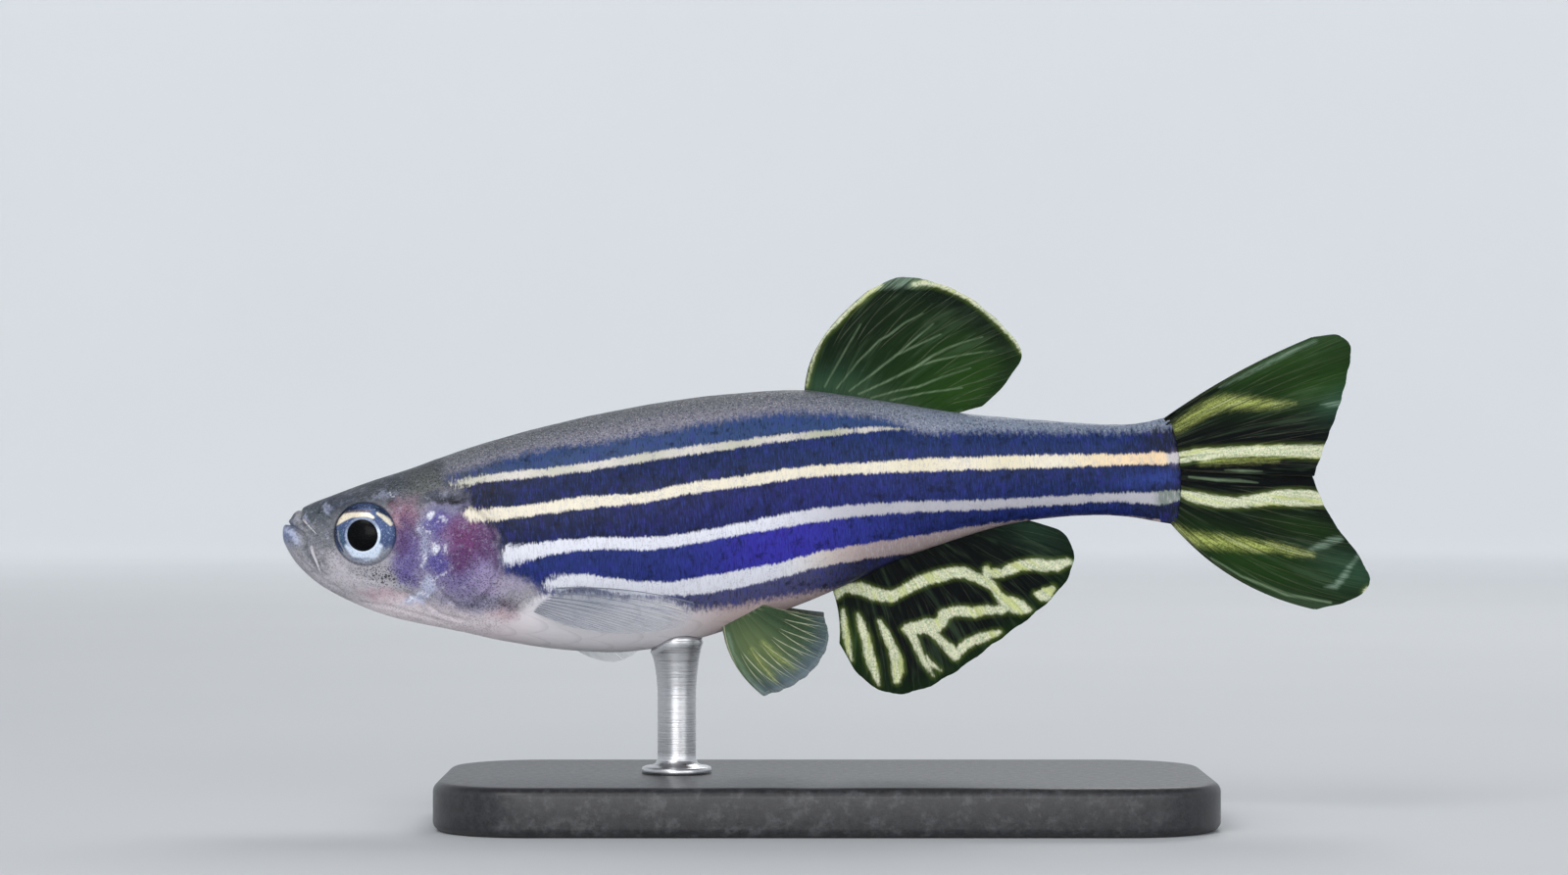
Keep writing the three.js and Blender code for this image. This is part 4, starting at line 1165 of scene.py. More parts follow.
@dataclass(frozen=True)
class EyeBall:
    """An eyeball turned about its own axis: pupil dome, ring, flat iris, rolled edge and hidden back."""

    rings: int = 76
    around: int = 180
    pupil: float = 0.66
    dome: float = 0.42
    depth: float = 1.15
    marks: tuple[EyeMark, ...] = (
        EyeMark(Tint.IRIS_GREY, 0.9, 0.15, ((-0.9, -0.75, 0.2), (-0.3, -1.1, 0.22), (0.4, -1.05, 0.25),
                (0.9, -0.7, 0.2))),
        EyeMark(Tint.IRIS_SLATE, 1, 0.14, ((0.86, 0.25, 0.25), (0.95, -0.1, 0.28), (0.8, -0.42, 0.25))),
        EyeMark(Tint.IRIS_DARK, 1, 0.05, ((-0.95, 0.82, 0.06), (-0.62, 1.05, 0.1), (-0.1, 1.25, 0.15),
                (0.35, 1.2, 0.13), (0.75, 0.95, 0.11), (1.05, 0.62, 0.08))),
        EyeMark(Tint.IRIS_SLATE, 0.6, 0.08, ((-0.35, 1.2, 0.05), (0.15, 1.27, 0.08), (0.5, 1.12, 0.05))),
        EyeMark(Tint.IRIS_BROWN, 0.8, 0.03, ((-1, 0.78, 0.03), (-0.7, 0.96, 0.03), (-0.1, 1, 0.03),
                (0.35, 0.95, 0.03))),
        EyeMark(Tint.IRIS_GREY, 0.8, 0.04, ((-1.12, 0.2, 0.04), (-1.09, -0.2, 0.04), (-0.93, -0.6, 0.05))),
        EyeMark(Tint.IRIS_TEAL, 1, 0.05, ((-0.98, 0.22, 0.06), (-0.95, -0.15, 0.08), (-0.82, -0.45, 0.06))),
        EyeMark(Tint.IRIS_DARK, 0.9, 0.03, ((-1.22, 0.3, 0.05), (-1.2, -0.15, 0.055),
                (-0.97, -0.62, 0.04))),
        EyeMark(Tint.IRIS_ICE, 1, 0.08, ((-0.75, -0.45, 0.08), (-0.45, -0.75, 0.17), (0.02, -0.88, 0.22),
                (0.4, -0.82, 0.2), (0.68, -0.55, 0.12))),
        EyeMark(Tint.IRIS_SLATE, 0.6, 0.05, ((-0.55, -0.95, 0.04), (-0.1, -1.03, 0.05), (0.15, -1, 0.04))),
        EyeMark(Tint.IRIS_CREAM, 1, 0.035, ((-1.17, 0.46, 0.03), (-1.02, 0.6, 0.11), (-0.78, 0.75, 0.15),
                (-0.45, 0.82, 0.11), (-0.08, 0.82, 0.1), (0.3, 0.78, 0.09), (0.5, 0.66, 0.05))),
        EyeMark(Tint.CREAM, 1, 0.03, ((0.66, 0.82, 0.05), (0.86, 0.68, 0.075), (1.05, 0.5, 0.095),
                (1.17, 0.33, 0.06))),
        EyeMark(Tint.IRIS_GREY, 0.9, 0.07, ((-1.05, -0.85, 0.06), (-0.45, -1.28, 0.12), (0.2, -1.36, 0.16),
                (0.8, -1.12, 0.16), (1.15, -0.75, 0.08))),)

    def profile(self) -> tuple[Array, Array]:
        """Radius and height over the rim's plane, from the pole outwards and round to the back.

        The front is the dome's height times 1 - (r/R)^2.2, with a small raised lens inside the pupil's edge.
        Behind the rim the ball closes as a quarter of an ellipse.

        Returns:
            Radii and heights.
        """
        front = np.linspace(0, 1, self.rings - 20) * EYE.radius
        height = self.dome * (1 - (front / EYE.radius) ** 2.2) - 0.03 * bell(front, self.pupil + 0.02, 0.03)
        height = height + 0.05 * np.sqrt(np.clip(1 - (front / self.pupil) ** 2, 0, 1))
        height = height - 0.05 * smoothstep(EYE.radius - 0.12, EYE.radius, front)
        t = np.linspace(0, 1, 21)[1:] * math.pi / 2
        return (np.concatenate([front, EYE.radius * np.cos(t)]),
                np.concatenate([height, -0.05 - self.depth * np.sin(t)]))

    def build(self, side: int, node: str) -> bpy.types.Object:
        """The eyeball of one side, in the plane of its rim.

        Args:
            side: 1 for the fish's right eye, -1 for its left.
            node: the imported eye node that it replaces.

        Returns:
            The eye object.
        """
        radius, height = self.profile()
        turn = np.linspace(0, 2 * math.pi, self.around, endpoint=False)
        lean = math.radians(EYE.forward_deg)
        rings = radius[1:-1, None]
        back = np.append(rings * np.cos(turn), [0, 0])
        up = np.append(rings * np.sin(turn), [0, 0])
        out = np.append(np.repeat(height[1:-1], self.around), height[[0, -1]])
        places = np.stack([EYE.at[0] + back * math.cos(lean) - out * math.sin(lean),
                           side * (EYE.rim_y(EYE.at[0]) + back * math.sin(lean) + out * math.cos(lean)),
                           EYE.at[1] + up], axis=-1)
        points, blocks = capped(places[:-2].reshape(len(rings), self.around, 3), places[-2], places[-1])
        iris = ground(Tint.IRIS_SLATE, back)
        for mark in self.marks:
            iris = blend(iris, mark.tint, mark.share(back, up))
        uv = 0.5 + 0.24 * np.stack([back, up], axis=1) / EYE.radius
        parts = MeshParts().add(points, blocks, uv, eye_back=back, eye_up=up, eye_out=out, iris=iris)
        eye = parts.build(node + "_ball")
        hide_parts(node)
        return eye


class Mark(Enum):
    """The kinds of marking on a fin."""

    CREAM = "cream"
    GOLD = "gold"
    FROST = "frost"
    DARK = "dark"
    THREAD = "thread"


@dataclass(frozen=True)
class FinForm:
    """A fin's drawn form: the line of its root, the line of its ray tips, and how its rays bend.

    The roots of the dorsal, anal and pelvic fins lie 0.7 mm inside the body. Each tint of the ground has a
    middle and a reach, as shares across and along the rays, and a strength. Lines have points
    (s, h, half width), grouped by the kind of mark.
    """

    node: str
    rays: int
    root: Path
    tips: Path
    bow: Pair
    skew: float = 0.0
    sway: float = 0.0
    side: int = 0
    across: int = 160
    along: int = 100
    membrane: float = 0.022
    ray_radius: Pair = (0.085, 0.02)
    fray: float = 0.012
    ground: tuple[tuple[Tint, Pair, Pair, float], ...] = ()
    base: Tint = Tint.FIN_SMOKE
    cover: Pair = (0.94, 0.85)
    ray_share: float = 0.3
    lines: tuple[tuple[Mark, tuple[Path, ...]], ...] = ()

    def place(self, u: Array, v: Array) -> Array:
        """A point of the fin's middle sheet.

        The point goes from the root line at share u to the tip line at share u by the share v, and moves to
        the side by 4 v (1 - v) times the bow and the ray's length, more below the middle by the skew. A
        middle fin sways by v^2 times a sine of u.

        Args:
            u: share from the first ray to the last.
            v: share from the root to the tip.

        Returns:
            Array of s, y, h.
        """
        fine = 400
        at = np.linspace(0, 1, fine)
        r, t = (np.stack([np.interp(u, at, column) for column in smooth_path(path, fine).T], axis=-1)
                for path in (self.root, self.tips))
        ds, dh = t[..., 0] - r[..., 0], t[..., 1] - r[..., 1]
        bow = self.bow[0] + (self.bow[1] - self.bow[0]) * u
        bend = 4 * v * (1 - v) * (1 + self.skew * (0.5 - v)) * bow
        if self.side:
            y = self.side * (r[..., 2] + (t[..., 2] - r[..., 2]) * v)
        else:
            y = self.sway * v * v * np.sin(math.pi * (0.4 + 1.3 * u))
        return np.stack([r[..., 0] + ds * v - dh * bend, y, r[..., 1] + dh * v + ds * bend], axis=-1)

    def normal(self, u: Array, v: Array) -> Array:
        """Unit normals of the middle sheet, from small steps of u and v.

        Args:
            u: share across the rays.
            v: share along the rays.

        Returns:
            The normals.
        """
        step = 0.004
        over = self.place(np.clip(u + step, 0, 1), v) - self.place(np.clip(u - step, 0, 1), v)
        down = self.place(u, np.clip(v + step, 0, 1)) - self.place(u, np.clip(v - step, 0, 1))
        return unit(np.cross(down, over))

    def values(self, points: Array, u: Array, v: Array, ray: float) -> dict[str, Array]:
        """Masks and colours of points of the fin.

        Args:
            points: the points, for the drawn markings.
            u: share across the rays.
            v: share along the rays.
            ray: 0 on the membrane, or the rays' strength.

        Returns:
            One array for each attribute's name.
        """
        found = {kind.value: np.full(u.shape, -2.0) for kind in Mark}
        for kind, path in ((kind, path) for kind, paths in self.lines for path in paths):
            distance, half = line_distance(points[:, 0], points[:, 2], path)
            found[kind.value] = np.maximum(found[kind.value], half - distance)
        colour = ground(self.base, u)
        for tint, (u0, v0), (du, dv), strength in self.ground:
            colour = blend(colour, tint, strength * bell(u, u0, du) * bell(v, v0, dv))
        cover = self.cover[0] + (self.cover[1] - self.cover[0]) * v**2
        return found | {"membrane": colour, "cover": cover, "ray": np.full(u.shape, ray),
                        "fan": u * (self.rays - 1), "reach": v}

    def build_membrane(self) -> bpy.types.Object:
        """The thin closed sheet between the rays, thicker over each ray, with a slightly frayed margin.

        The share v is cut short by a sine of the ray number, so that the margin is notched between the rays.

        Returns:
            The membrane object, which replaces the fin's node.
        """
        u, v = np.meshgrid(np.linspace(0, 1, self.across), np.linspace(0, 1, self.along), indexing="ij")
        fan = u * (self.rays - 1)
        wave = np.cos(2 * math.pi * fan)
        notch = (1 - wave) / 2 + 0.35 * (1 + np.sin(fan * 23.1)) * (1 + np.sin(fan * 9.7 + 1)) / 4
        v = v * (1 - self.fray * notch)
        middle, normal = self.place(u, v), self.normal(u, v)
        half = self.membrane * (1 - 0.45 * v) * (0.7 + 0.9 * bell(fan, np.round(fan), 0.14))
        half[:, -1] *= 0.3
        rows, columns = u.shape
        count = rows * columns
        sheet = grid_faces(rows, columns, wrap=False)
        grid = np.arange(count).reshape(rows, columns)
        loop = np.concatenate([grid[:-1, 0], grid[-1, :-1], grid[:0:-1, -1], grid[0, :0:-1]])
        after = np.roll(loop, -1)
        edge = np.stack([loop, after, after + count, loop + count], axis=1)
        points = np.vstack([(middle + normal * (0.02 * v * wave + sign * half)[..., None]).reshape(-1, 3)
                            for sign in (1, -1)])
        flat = np.stack([u.reshape(-1), v.reshape(-1)], axis=-1)
        values = self.values(points, *np.tile(flat.T, 2), 0.0)
        uv = 0.02 + 0.96 * np.vstack([flat * [1, 0.5], flat * [1, 0.48] + [0, 0.52]])
        faces = outward(points, [np.vstack([sheet[:, ::-1], sheet + count, edge])])
        made = MeshParts().add(points, faces, uv, **values).build(self.node + "_membrane")
        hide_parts(self.node)
        return made

    def build_rays(self) -> bpy.types.Object:
        """The bony rays: each a bundle of four fine strands that part into two and then four branches.

        A strand's share u is the ray's own plus a fork that opens as a smooth step of v, and its section is
        a flattened ring whose radius falls evenly from root to tip.

        Returns:
            The rays object.
        """
        steps, ring = 44, 6
        pitch = 1 / (self.rays - 1)
        v = np.linspace(0, 0.985, steps)
        turn = np.linspace(0, 2 * math.pi, ring, endpoint=False)[None, :, None]
        thickness = self.ray_radius[0] + (self.ray_radius[1] - self.ray_radius[0]) * v**0.8
        thickness = thickness * np.where(v > 0.25, 1 + 0.12 * np.cos(2 * math.pi * v * 22) ** 8, 1)
        parts = MeshParts()
        for k in range(self.rays):
            plain = k == 0 or (k == self.rays - 1 and self.side == 0)
            for first, second in ((-1, -1), (-1, 1), (1, -1), (1, 1)):
                fork = 0.26 * first * smoothstep(0.3, 0.72, v) + 0.12 * second * smoothstep(0.62, 0.95, v)
                fork = fork * (not plain) + 0.012 * (first + second / 2)
                u = np.clip((k + fork) * pitch, 0, 1)
                line, normal = self.place(u, v), self.normal(u, v)
                over = unit(np.cross(normal, np.gradient(line, axis=0)))
                radius = thickness * (1.15 if plain else 0.8)
                line = line + normal * (0.02 * v * np.cos(2 * math.pi * u / pitch))[:, None]
                circle = over[:, None] * np.cos(turn) * 0.9 + normal[:, None] * np.sin(turn) * 0.62
                points, blocks = capped(line[:, None] + circle * radius[:, None, None], line[0], line[-1])
                all_u, all_v = (np.append(np.repeat(share, ring), share[[0, -1]]) for share in (u, v))
                strand = (4 * k + (first + 1) + (second + 1) / 2) / (4 * self.rays)
                strand = strand + (np.arange(len(points)) % ring) / ring / (4.4 * self.rays)
                corner = 0.01 + 0.98 * np.stack([strand, all_v], axis=-1)
                parts.add(points, blocks, corner, **self.values(points, all_u, all_v, self.ray_share))
        made = parts.build(self.node + "_rays")
        return made


DORSAL = FinForm(
    "dorsal_fin", 10,
    root=((22.1, 3.75), (24.6, 3.25), (27, 2.64)),
    tips=((25.1, 8.42), (26.35, 8.84), (27.6, 8.6), (29, 7.92), (30, 7.05), (30.8, 6.1), (31.2, 5.3),
          (30.7, 4.45), (30, 3.7), (29.4, 3.25)),
    bow=(0.132, 0.03), skew=0.5, sway=0.25, fray=0.006, cover=(0.99, 0.96), ray_share=0.06,
    ground=((Tint.FIN_DARK, (0.1, 0.5), (0.3, 0.6), 0.5), (Tint.FIN_TEAL, (0.15, 0.12), (0.3, 0.14), 0.4),
            (Tint.FIN_OLIVE, (0.85, 0.55), (0.3, 0.5), 0.7), (Tint.FIN_DARK, (0.5, 0.92), (0.4, 0.1), 0.7),
            (Tint.FIN_GREY, (0.6, 0.1), (0.6, 0.1), 0.3)),
    lines=(
        (Mark.CREAM, (
            ((22.16, 4.57, 0.025), (22.31, 5.12, 0.037), (22.54, 5.73, 0.044), (22.8, 6.31, 0.062),
             (23.08, 6.69, 0.075), (23.64, 7.15, 0.075), (24.18, 7.66, 0.075), (24.71, 8.04, 0.087),
             (25.13, 8.35, 0.106), (25.55, 8.6, 0.093)),
            ((26.91, 8.5, 0.075), (27.48, 8.53, 0.12), (27.92, 8.44, 0.13), (28.34, 8.24, 0.12),
             (28.82, 7.98, 0.11), (29.3, 7.64, 0.1), (29.82, 7.16, 0.09), (30.28, 6.66, 0.08),
             (30.68, 6.2, 0.08), (30.97, 5.78, 0.08), (31.2, 5.34, 0.05)))),
        (Mark.FROST, (
            ((25.23, 8.45, 0.125), (25.87, 8.62, 0.24), (26.49, 8.66, 0.27), (27.11, 8.55, 0.24),
             (27.48, 8.5, 0.15)),)),
        (Mark.THREAD, (
            ((22.9, 4.5, 0.012), (23.3, 5.1, 0.018), (23.9, 6, 0.018), (24.6, 7, 0.006)),
            ((23.4, 4.4, 0.012), (24.39, 5.47, 0.021), (25.33, 6.28, 0.024), (25.71, 6.44, 0.03),
             (26.37, 6.89, 0.024), (27.21, 7.26, 0.012)),
            ((23.9, 4.25, 0.012), (24.98, 4.93, 0.027), (25.97, 5.61, 0.036), (26.93, 5.97, 0.024),
             (27.89, 6.34, 0.012)),
            ((25.97, 5.61, 0.024), (26.82, 6.23, 0.021), (27.61, 6.8, 0.012)),
            ((24.3, 4.1, 0.018), (25.58, 4.57, 0.03), (26.22, 4.84, 0.036), (26.74, 5.05, 0.045),
             (27.52, 5.49, 0.03), (28.16, 5.76, 0.03), (28.77, 5.93, 0.018), (29.6, 6.1, 0.006)),
            ((26.74, 5.05, 0.024), (27.5, 5.24, 0.024), (28.7, 5.41, 0.018), (30, 5.5, 0.006)),
            ((24.8, 3.9, 0.018), (25.86, 4.12, 0.024), (26.8, 4.23, 0.036), (27.76, 4.54, 0.024),
             (29, 4.85, 0.012)),
            ((25.6, 3.75, 0.018), (27, 3.95, 0.024), (28.6, 4.05, 0.012))))))
ANAL = FinForm(
    "anal_fin", 14,
    root=((22.5, -3.3), (25.4, -2.22), (29.4, -1.15)),
    tips=((22.75, -6.2), (23.5, -7.6), (24.65, -8.4), (26, -8.35), (27.4, -7.75), (29.2, -6.65),
          (31.3, -5.3), (32.35, -4.3), (32.74, -3.5), (32.73, -3), (32.5, -2.4), (31.9, -2), (31.1, -1.75)),
    bow=(0.07, 0.03), sway=-0.25, across=230, along=120, fray=0.008, base=Tint.FIN_DARK,
    cover=(0.995, 0.98), ray_share=0.02,
    ground=((Tint.FIN_OLIVE, (0.02, 0.8), (0.12, 0.3), 0.5),
            (Tint.FIN_TEAL, (0.93, 0.6), (0.12, 0.35), 0.35), (Tint.FIN_SMOKE, (0.45, 1), (0.5, 0.1), 0.8)),
    lines=(
        (Mark.CREAM, (
            ((22, -4.26, 0.28), (22.72, -4.1, 0.238), (23.09, -3.9, 0.168), (23.78, -3.96, 0.245),
             (24.33, -4.22, 0.245), (25.01, -4.41, 0.216), (25.52, -4.2, 0.186), (25.96, -3.98, 0.225),
             (26.54, -3.78, 0.225), (27.1, -3.68, 0.245), (27.67, -3.58, 0.225), (28.16, -3.62, 0.206),
             (28.64, -3.86, 0.176), (29.04, -4.07, 0.196), (29.31, -4.3, 0.157), (29.49, -4.66, 0.157),
             (29.75, -4.93, 0.245), (30.09, -5.13, 0.314), (30.5, -5.3, 0.245), (30.76, -5.39, 0.069)),
            ((29.08, -3.54, 0.147), (29.05, -4.03, 0.147)),
            ((29.07, -3.65, 0.147), (29.38, -3.74, 0.176), (29.7, -3.76, 0.157), (30.06, -3.61, 0.216),
             (30.49, -3.5, 0.206), (31.05, -3.48, 0.225), (31.61, -3.59, 0.225), (32.1, -3.59, 0.216),
             (32.46, -3.51, 0.147), (32.68, -3.51, 0.049)),
            ((31, -4.7, 0.05), (31.25, -4.78, 0.24), (31.5, -4.75, 0.27), (31.75, -4.55, 0.12)),
            ((29.85, -5.11, 0.196), (29.59, -5.27, 0.167), (29.38, -5.26, 0.157), (28.96, -5.25, 0.176),
             (28.46, -5.29, 0.206), (27.98, -5.22, 0.206), (27.56, -5.19, 0.186), (27.16, -5.33, 0.24),
             (27.03, -5.61, 0.22), (26.8, -5.74, 0.27), (26.46, -5.7, 0.29), (26.04, -5.76, 0.25),
             (25.6, -5.76, 0.2), (25.4, -5.76, 0.05)),
            ((26.46, -5.85, 0.147), (26.78, -6.15, 0.157), (27.04, -6.45, 0.137), (27.3, -6.75, 0.225),
             (27.51, -7.01, 0.196), (27.76, -6.78, 0.176), (28.02, -6.59, 0.196), (28.38, -6.44, 0.176),
             (28.74, -6.36, 0.176), (29.17, -6.25, 0.147), (29.44, -6.19, 0.069)),
            ((25.62, -5.78, 0.2), (25.81, -6.08, 0.16), (25.95, -6.51, 0.13), (26.12, -7.01, 0.11),
             (26.36, -7.45, 0.08), (26.55, -7.8, 0.03)),
            ((26.3, -6.96, 0.039), (26.46, -7.25, 0.069), (26.62, -7.4, 0.069), (26.83, -7.59, 0.039)),
            ((22.6, -5, 0.02), (22.66, -5.3, 0.07), (22.75, -5.7, 0.04)),
            ((22.98, -4.82, 0.056), (23, -5.31, 0.12), (23.05, -5.88, 0.13), (23.12, -6.45, 0.1),
             (23.19, -6.91, 0.032)),
            ((23.6, -5.04, 0.048), (23.69, -5.43, 0.145), (23.87, -6.08, 0.185), (23.93, -6.72, 0.193),
             (24.07, -7.22, 0.185), (24.18, -7.68, 0.121), (24.27, -8, 0.024)),
            ((24.47, -5.38, 0.056), (24.66, -5.86, 0.161), (24.93, -6.51, 0.169), (25.07, -7.08, 0.241),
             (25.08, -7.5, 0.25), (25.01, -7.88, 0.121)))),))
CAUDAL_UPPER = FinForm(
    "caudal_fin_upper", 10,
    root=((36.9, 2.1), (37, 0)),
    tips=((43.4, 5.12), (44.45, 5.1), (44.87, 4.6), (44.62, 3.4), (44.15, 2.1), (43.4, 0.5), (42.9, -0.67)),
    bow=(0.03, 0), sway=0.3, across=150, along=150, fray=0.005, base=Tint.FIN_DARK, cover=(0.995, 0.97),
    ray_share=0.04,
    ground=((Tint.FIN_OLIVE, (0.12, 0.75), (0.24, 0.5), 0.7), (Tint.FIN_GREY, (0.05, 1), (0.14, 0.25), 0.3),
            (Tint.FIN_OLIVE, (0.42, 0.85), (0.12, 0.3), 0.7), (Tint.FIN_TEAL, (0.55, 1), (0.1, 0.14), 0.6)),
    lines=(
        (Mark.GOLD, (
            ((37.34, 1.72, 0.12), (37.75, 1.97, 0.17), (38.24, 2.22, 0.21), (38.8, 2.51, 0.24),
             (39.44, 2.66, 0.24), (40.14, 2.6, 0.22), (40.83, 2.48, 0.17), (41.61, 2.43, 0.08),
             (42.3, 2.41, -0.05)),
            ((38.33, 0.3, 0.08), (38.95, 0.3, 0.1), (39.89, 0.26, 0.11), (40.67, 0.22, 0.09),
             (41.45, 0.21, 0.03)))),
        (Mark.FROST, (
            ((43.39, 2.3, 0), (43.78, 2.25, 0.08), (44.2, 2.26, 0.1)),
            ((39.3, 3.3, 0), (40.6, 3.85, 0.05), (42.2, 4.5, 0.08), (43.4, 4.9, 0.05)))),
        (Mark.CREAM, (
            ((38.05, 0.58, 0.24), (38.43, 0.55, 0.26), (38.98, 0.57, 0.2), (39.76, 0.58, 0.2),
             (40.77, 0.54, 0.21), (41.62, 0.48, 0.23), (42.4, 0.4, 0.25), (43.02, 0.34, 0.27),
             (43.6, 0.29, 0.25)),
            ((36.95, 0.5, 0.2), (37.3, 0.5, 0.23), (37.8, 0.53, 0.22)))),
        (Mark.DARK, (
            ((37.55, 2.47, 0.04), (38.19, 2.74, 0.06), (38.84, 3.05, 0.07), (39.57, 3.4, 0.04)),
            ((37.93, 0.2, 0.03), (37.93, 0.85, 0.03)))),
        (Mark.THREAD, (
            ((39.23, -0.15, 0), (39.93, -0.23, 0.05), (40.78, -0.31, 0)),))))
CAUDAL_LOWER = FinForm(
    "caudal_fin_lower", 9,
    root=((37, 0), (36.9, -2.15)),
    tips=((42.9, -0.67), (43.3, -1.9), (43.9, -3.1), (44.5, -4), (44.9, -5.3), (44.15, -5.88),
          (42.6, -6.2)),
    bow=(0, -0.085), sway=0.3, across=150, along=150, fray=0.005, base=Tint.FIN_DARK, cover=(0.995, 0.96),
    ray_share=0.04,
    ground=((Tint.FIN_OLIVE, (0.8, 0.5), (0.25, 0.4), 0.7), (Tint.FIN_SMOKE, (0.95, 0.8), (0.3, 0.5), 0.6),
            (Tint.FIN_GREY, (0.98, 0.95), (0.1, 0.3), 0.4), (Tint.FIN_TEAL, (0.6, 0.95), (0.12, 0.2), 0.5),
            (Tint.FIN_OLIVE, (0.35, 0.8), (0.1, 0.3), 0.4)),
    lines=(
        (Mark.CREAM, (
            ((37.34, -0.97, 0.1), (37.68, -1.1, 0.18), (38.06, -1.23, 0.22), (38.83, -1.43, 0.23),
             (39.6, -1.53, 0.2), (40.23, -1.53, 0.22), (40.85, -1.48, 0.26), (41.56, -1.47, 0.31),
             (42.33, -1.53, 0.33), (42.95, -1.61, 0.3), (43.33, -1.82, 0.12)),
            ((44.6, -5.62, 0.03), (44.78, -5.5, 0.08)))),
        (Mark.GOLD, (
            ((36.74, -2.31, 0.1), (37.11, -2.55, 0.17), (37.48, -2.81, 0.2), (38.32, -3.03, 0.25),
             (39.25, -3.19, 0.22), (40.25, -3.4, 0.19), (41.02, -3.49, 0.13), (41.79, -3.71, 0.1),
             (42.55, -3.92, 0.04)),)),
        (Mark.FROST, (
            ((42.41, -3.72, 0), (42.89, -3.6, 0.12), (43.37, -3.44, 0.15), (43.84, -3.35, 0.1)),
            ((42.99, -5.32, 0), (43.47, -5.28, 0.1), (43.89, -4.84, 0.12), (44.15, -4.47, 0.06),
             (44.57, -4.07, 0.04)))),
        (Mark.DARK, (
            ((37.16, -2.95, 0.04), (37.53, -3.22, 0.08), (37.97, -3.58, 0.08), (38.45, -3.95, 0.04)),)),
        (Mark.THREAD, (
            ((37.74, -0.33, 0.03), (38.89, -0.54, 0.05), (39.82, -0.64, 0.05), (40.59, -0.78, 0)),
            ((38.4, -3.75, 0.02), (39.6, -4.6, 0.04), (41.4, -5.5, 0.05), (43.2, -5.95, 0.04))))))
PELVIC_LEFT = FinForm(
    "pelvic_fin_left", 8,
    root=((18, -4.6, 0.75), (19.5, -4.25, 1.05)),
    tips=((19.5, -8.05, 1.5), (20.6, -7.72, 2.1), (21.7, -6.95, 2.6), (22.3, -5.9, 2.85),
          (22.2, -4.95, 2.75)),
    bow=(-0.12, -0.02), side=-1, across=100, along=80, ray_radius=(0.07, 0.018), base=Tint.FIN_GREY,
    cover=(0.86, 0.66), ray_share=0.7,
    ground=((Tint.FIN_GOLD, (0.35, 0.4), (0.3, 0.35), 0.12), (Tint.FIN_BLUE, (0.5, 0.95), (0.8, 0.16), 0.6),
            (Tint.FIN_SMOKE, (0.9, 0.5), (0.25, 0.5), 0.5), (Tint.FIN_SMOKE, (0.5, 0.1), (0.6, 0.2), 0.3)),
    lines=(
        (Mark.FROST, (
            ((18.15, -5.4, 0.05), (18.35, -6.2, 0.06), (18.75, -7, 0.06), (19.4, -7.9, 0.04)),)),
        (Mark.GOLD, (
            ((19.1, -6.1, 0.02), (19.6, -6.9, 0.05), (19.95, -7.4, 0.02)),
            ((19.6, -5.9, 0.02), (20.3, -6.6, 0.05), (20.8, -7, 0.02))))))
PELVIC_RIGHT = replace(PELVIC_LEFT, node="pelvic_fin_right", side=1)
PECTORAL_LEFT = FinForm(
    "pectoral_fin_left", 11,
    root=((9.75, -3, 2.1), (10.1, -3.75, 1.9)),
    tips=((17, -3.95, 3.55), (16.6, -4.75, 3.4), (15.2, -5, 3.2), (13.5, -4.95, 3), (12, -4.6, 2.8)),
    bow=(0.05, -0.02), side=-1, across=110, along=90, ray_radius=(0.03, 0.008), base=Tint.PECTORAL,
    cover=(0.13, 0.04), ray_share=0.12,
    ground=((Tint.FIN_BLUE, (0.15, 0.5), (0.3, 0.6), 0.4),))
PECTORAL_RIGHT = replace(PECTORAL_LEFT, node="pectoral_fin_right", side=1,
    tips=((14.8, -5.5, 5.3), (14.2, -6.15, 4.9), (13.3, -6.5, 4.5), (12.4, -6.3, 4), (11.5, -5.75, 3.4)))
FINS = (DORSAL, ANAL, CAUDAL_UPPER, CAUDAL_LOWER, PELVIC_LEFT, PELVIC_RIGHT, PECTORAL_LEFT, PECTORAL_RIGHT)


@dataclass(frozen=True)
class Barbel:
    """A soft feeler that starts at the skin and hangs just off it: points (s, h) and their lifts."""

    path: Path
    lifts: tuple[float, ...]
    radius: Pair

    def build(self, side: int, node: str) -> bpy.types.Object:
        """A tapered tube along a smooth line over the skin, with a rounded tip.

        Each drawn point is the body's side at its station and height, moved out by its lift.

        Args:
            side: 1 for the right side, -1 for the left.
            node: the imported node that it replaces.

        Returns:
            The barbel object.
        """
        s, h = np.array(self.path).T
        out = side * (BODY.side(s, h) + np.array(self.lifts))
        steps, around = 40, 14
        line = smooth_path(np.stack([s, out, h], axis=1), steps)
        share = np.linspace(0, 1, steps)
        radius = self.radius[0] + (self.radius[1] - self.radius[0]) * share**0.8
        radius = radius * np.sqrt(1 - share**8 * 0.96)
        along = unit(np.gradient(line, axis=0))
        one = unit(np.cross(along, np.array([0, 1.0, 0])))
        turn = np.linspace(0, 2 * math.pi, around, endpoint=False)[:, None]
        circle = one[:, None] * np.cos(turn) + np.cross(along, one)[:, None] * np.sin(turn)
        rings = line[:, None] + radius[:, None, None] * circle
        points, blocks = capped(rings, line[0], line[-1] + along[-1] * 0.01)
        parts = MeshParts().add(points, blocks, reach=np.append(np.repeat(share, around), [0, 1]))
        made = parts.build(node + "_feeler")
        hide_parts(node)
        return made


MOUTH_BARBEL = Barbel(((1.28, -0.55), (1.33, -0.8), (1.45, -1.15), (1.55, -1.5),
            (1.62, -1.8)), (-0.1, 0.1, 0.2, 0.25, 0.25), (0.1, 0.028))
NOSE_BARBEL = Barbel(((1, 0.56), (1.12, 0.44), (1.28, 0.26), (1.44, 0.08),
            (1.56, -0.06)), (-0.1, 0.1, 0.18, 0.2, 0.2), (0.07, 0.022))


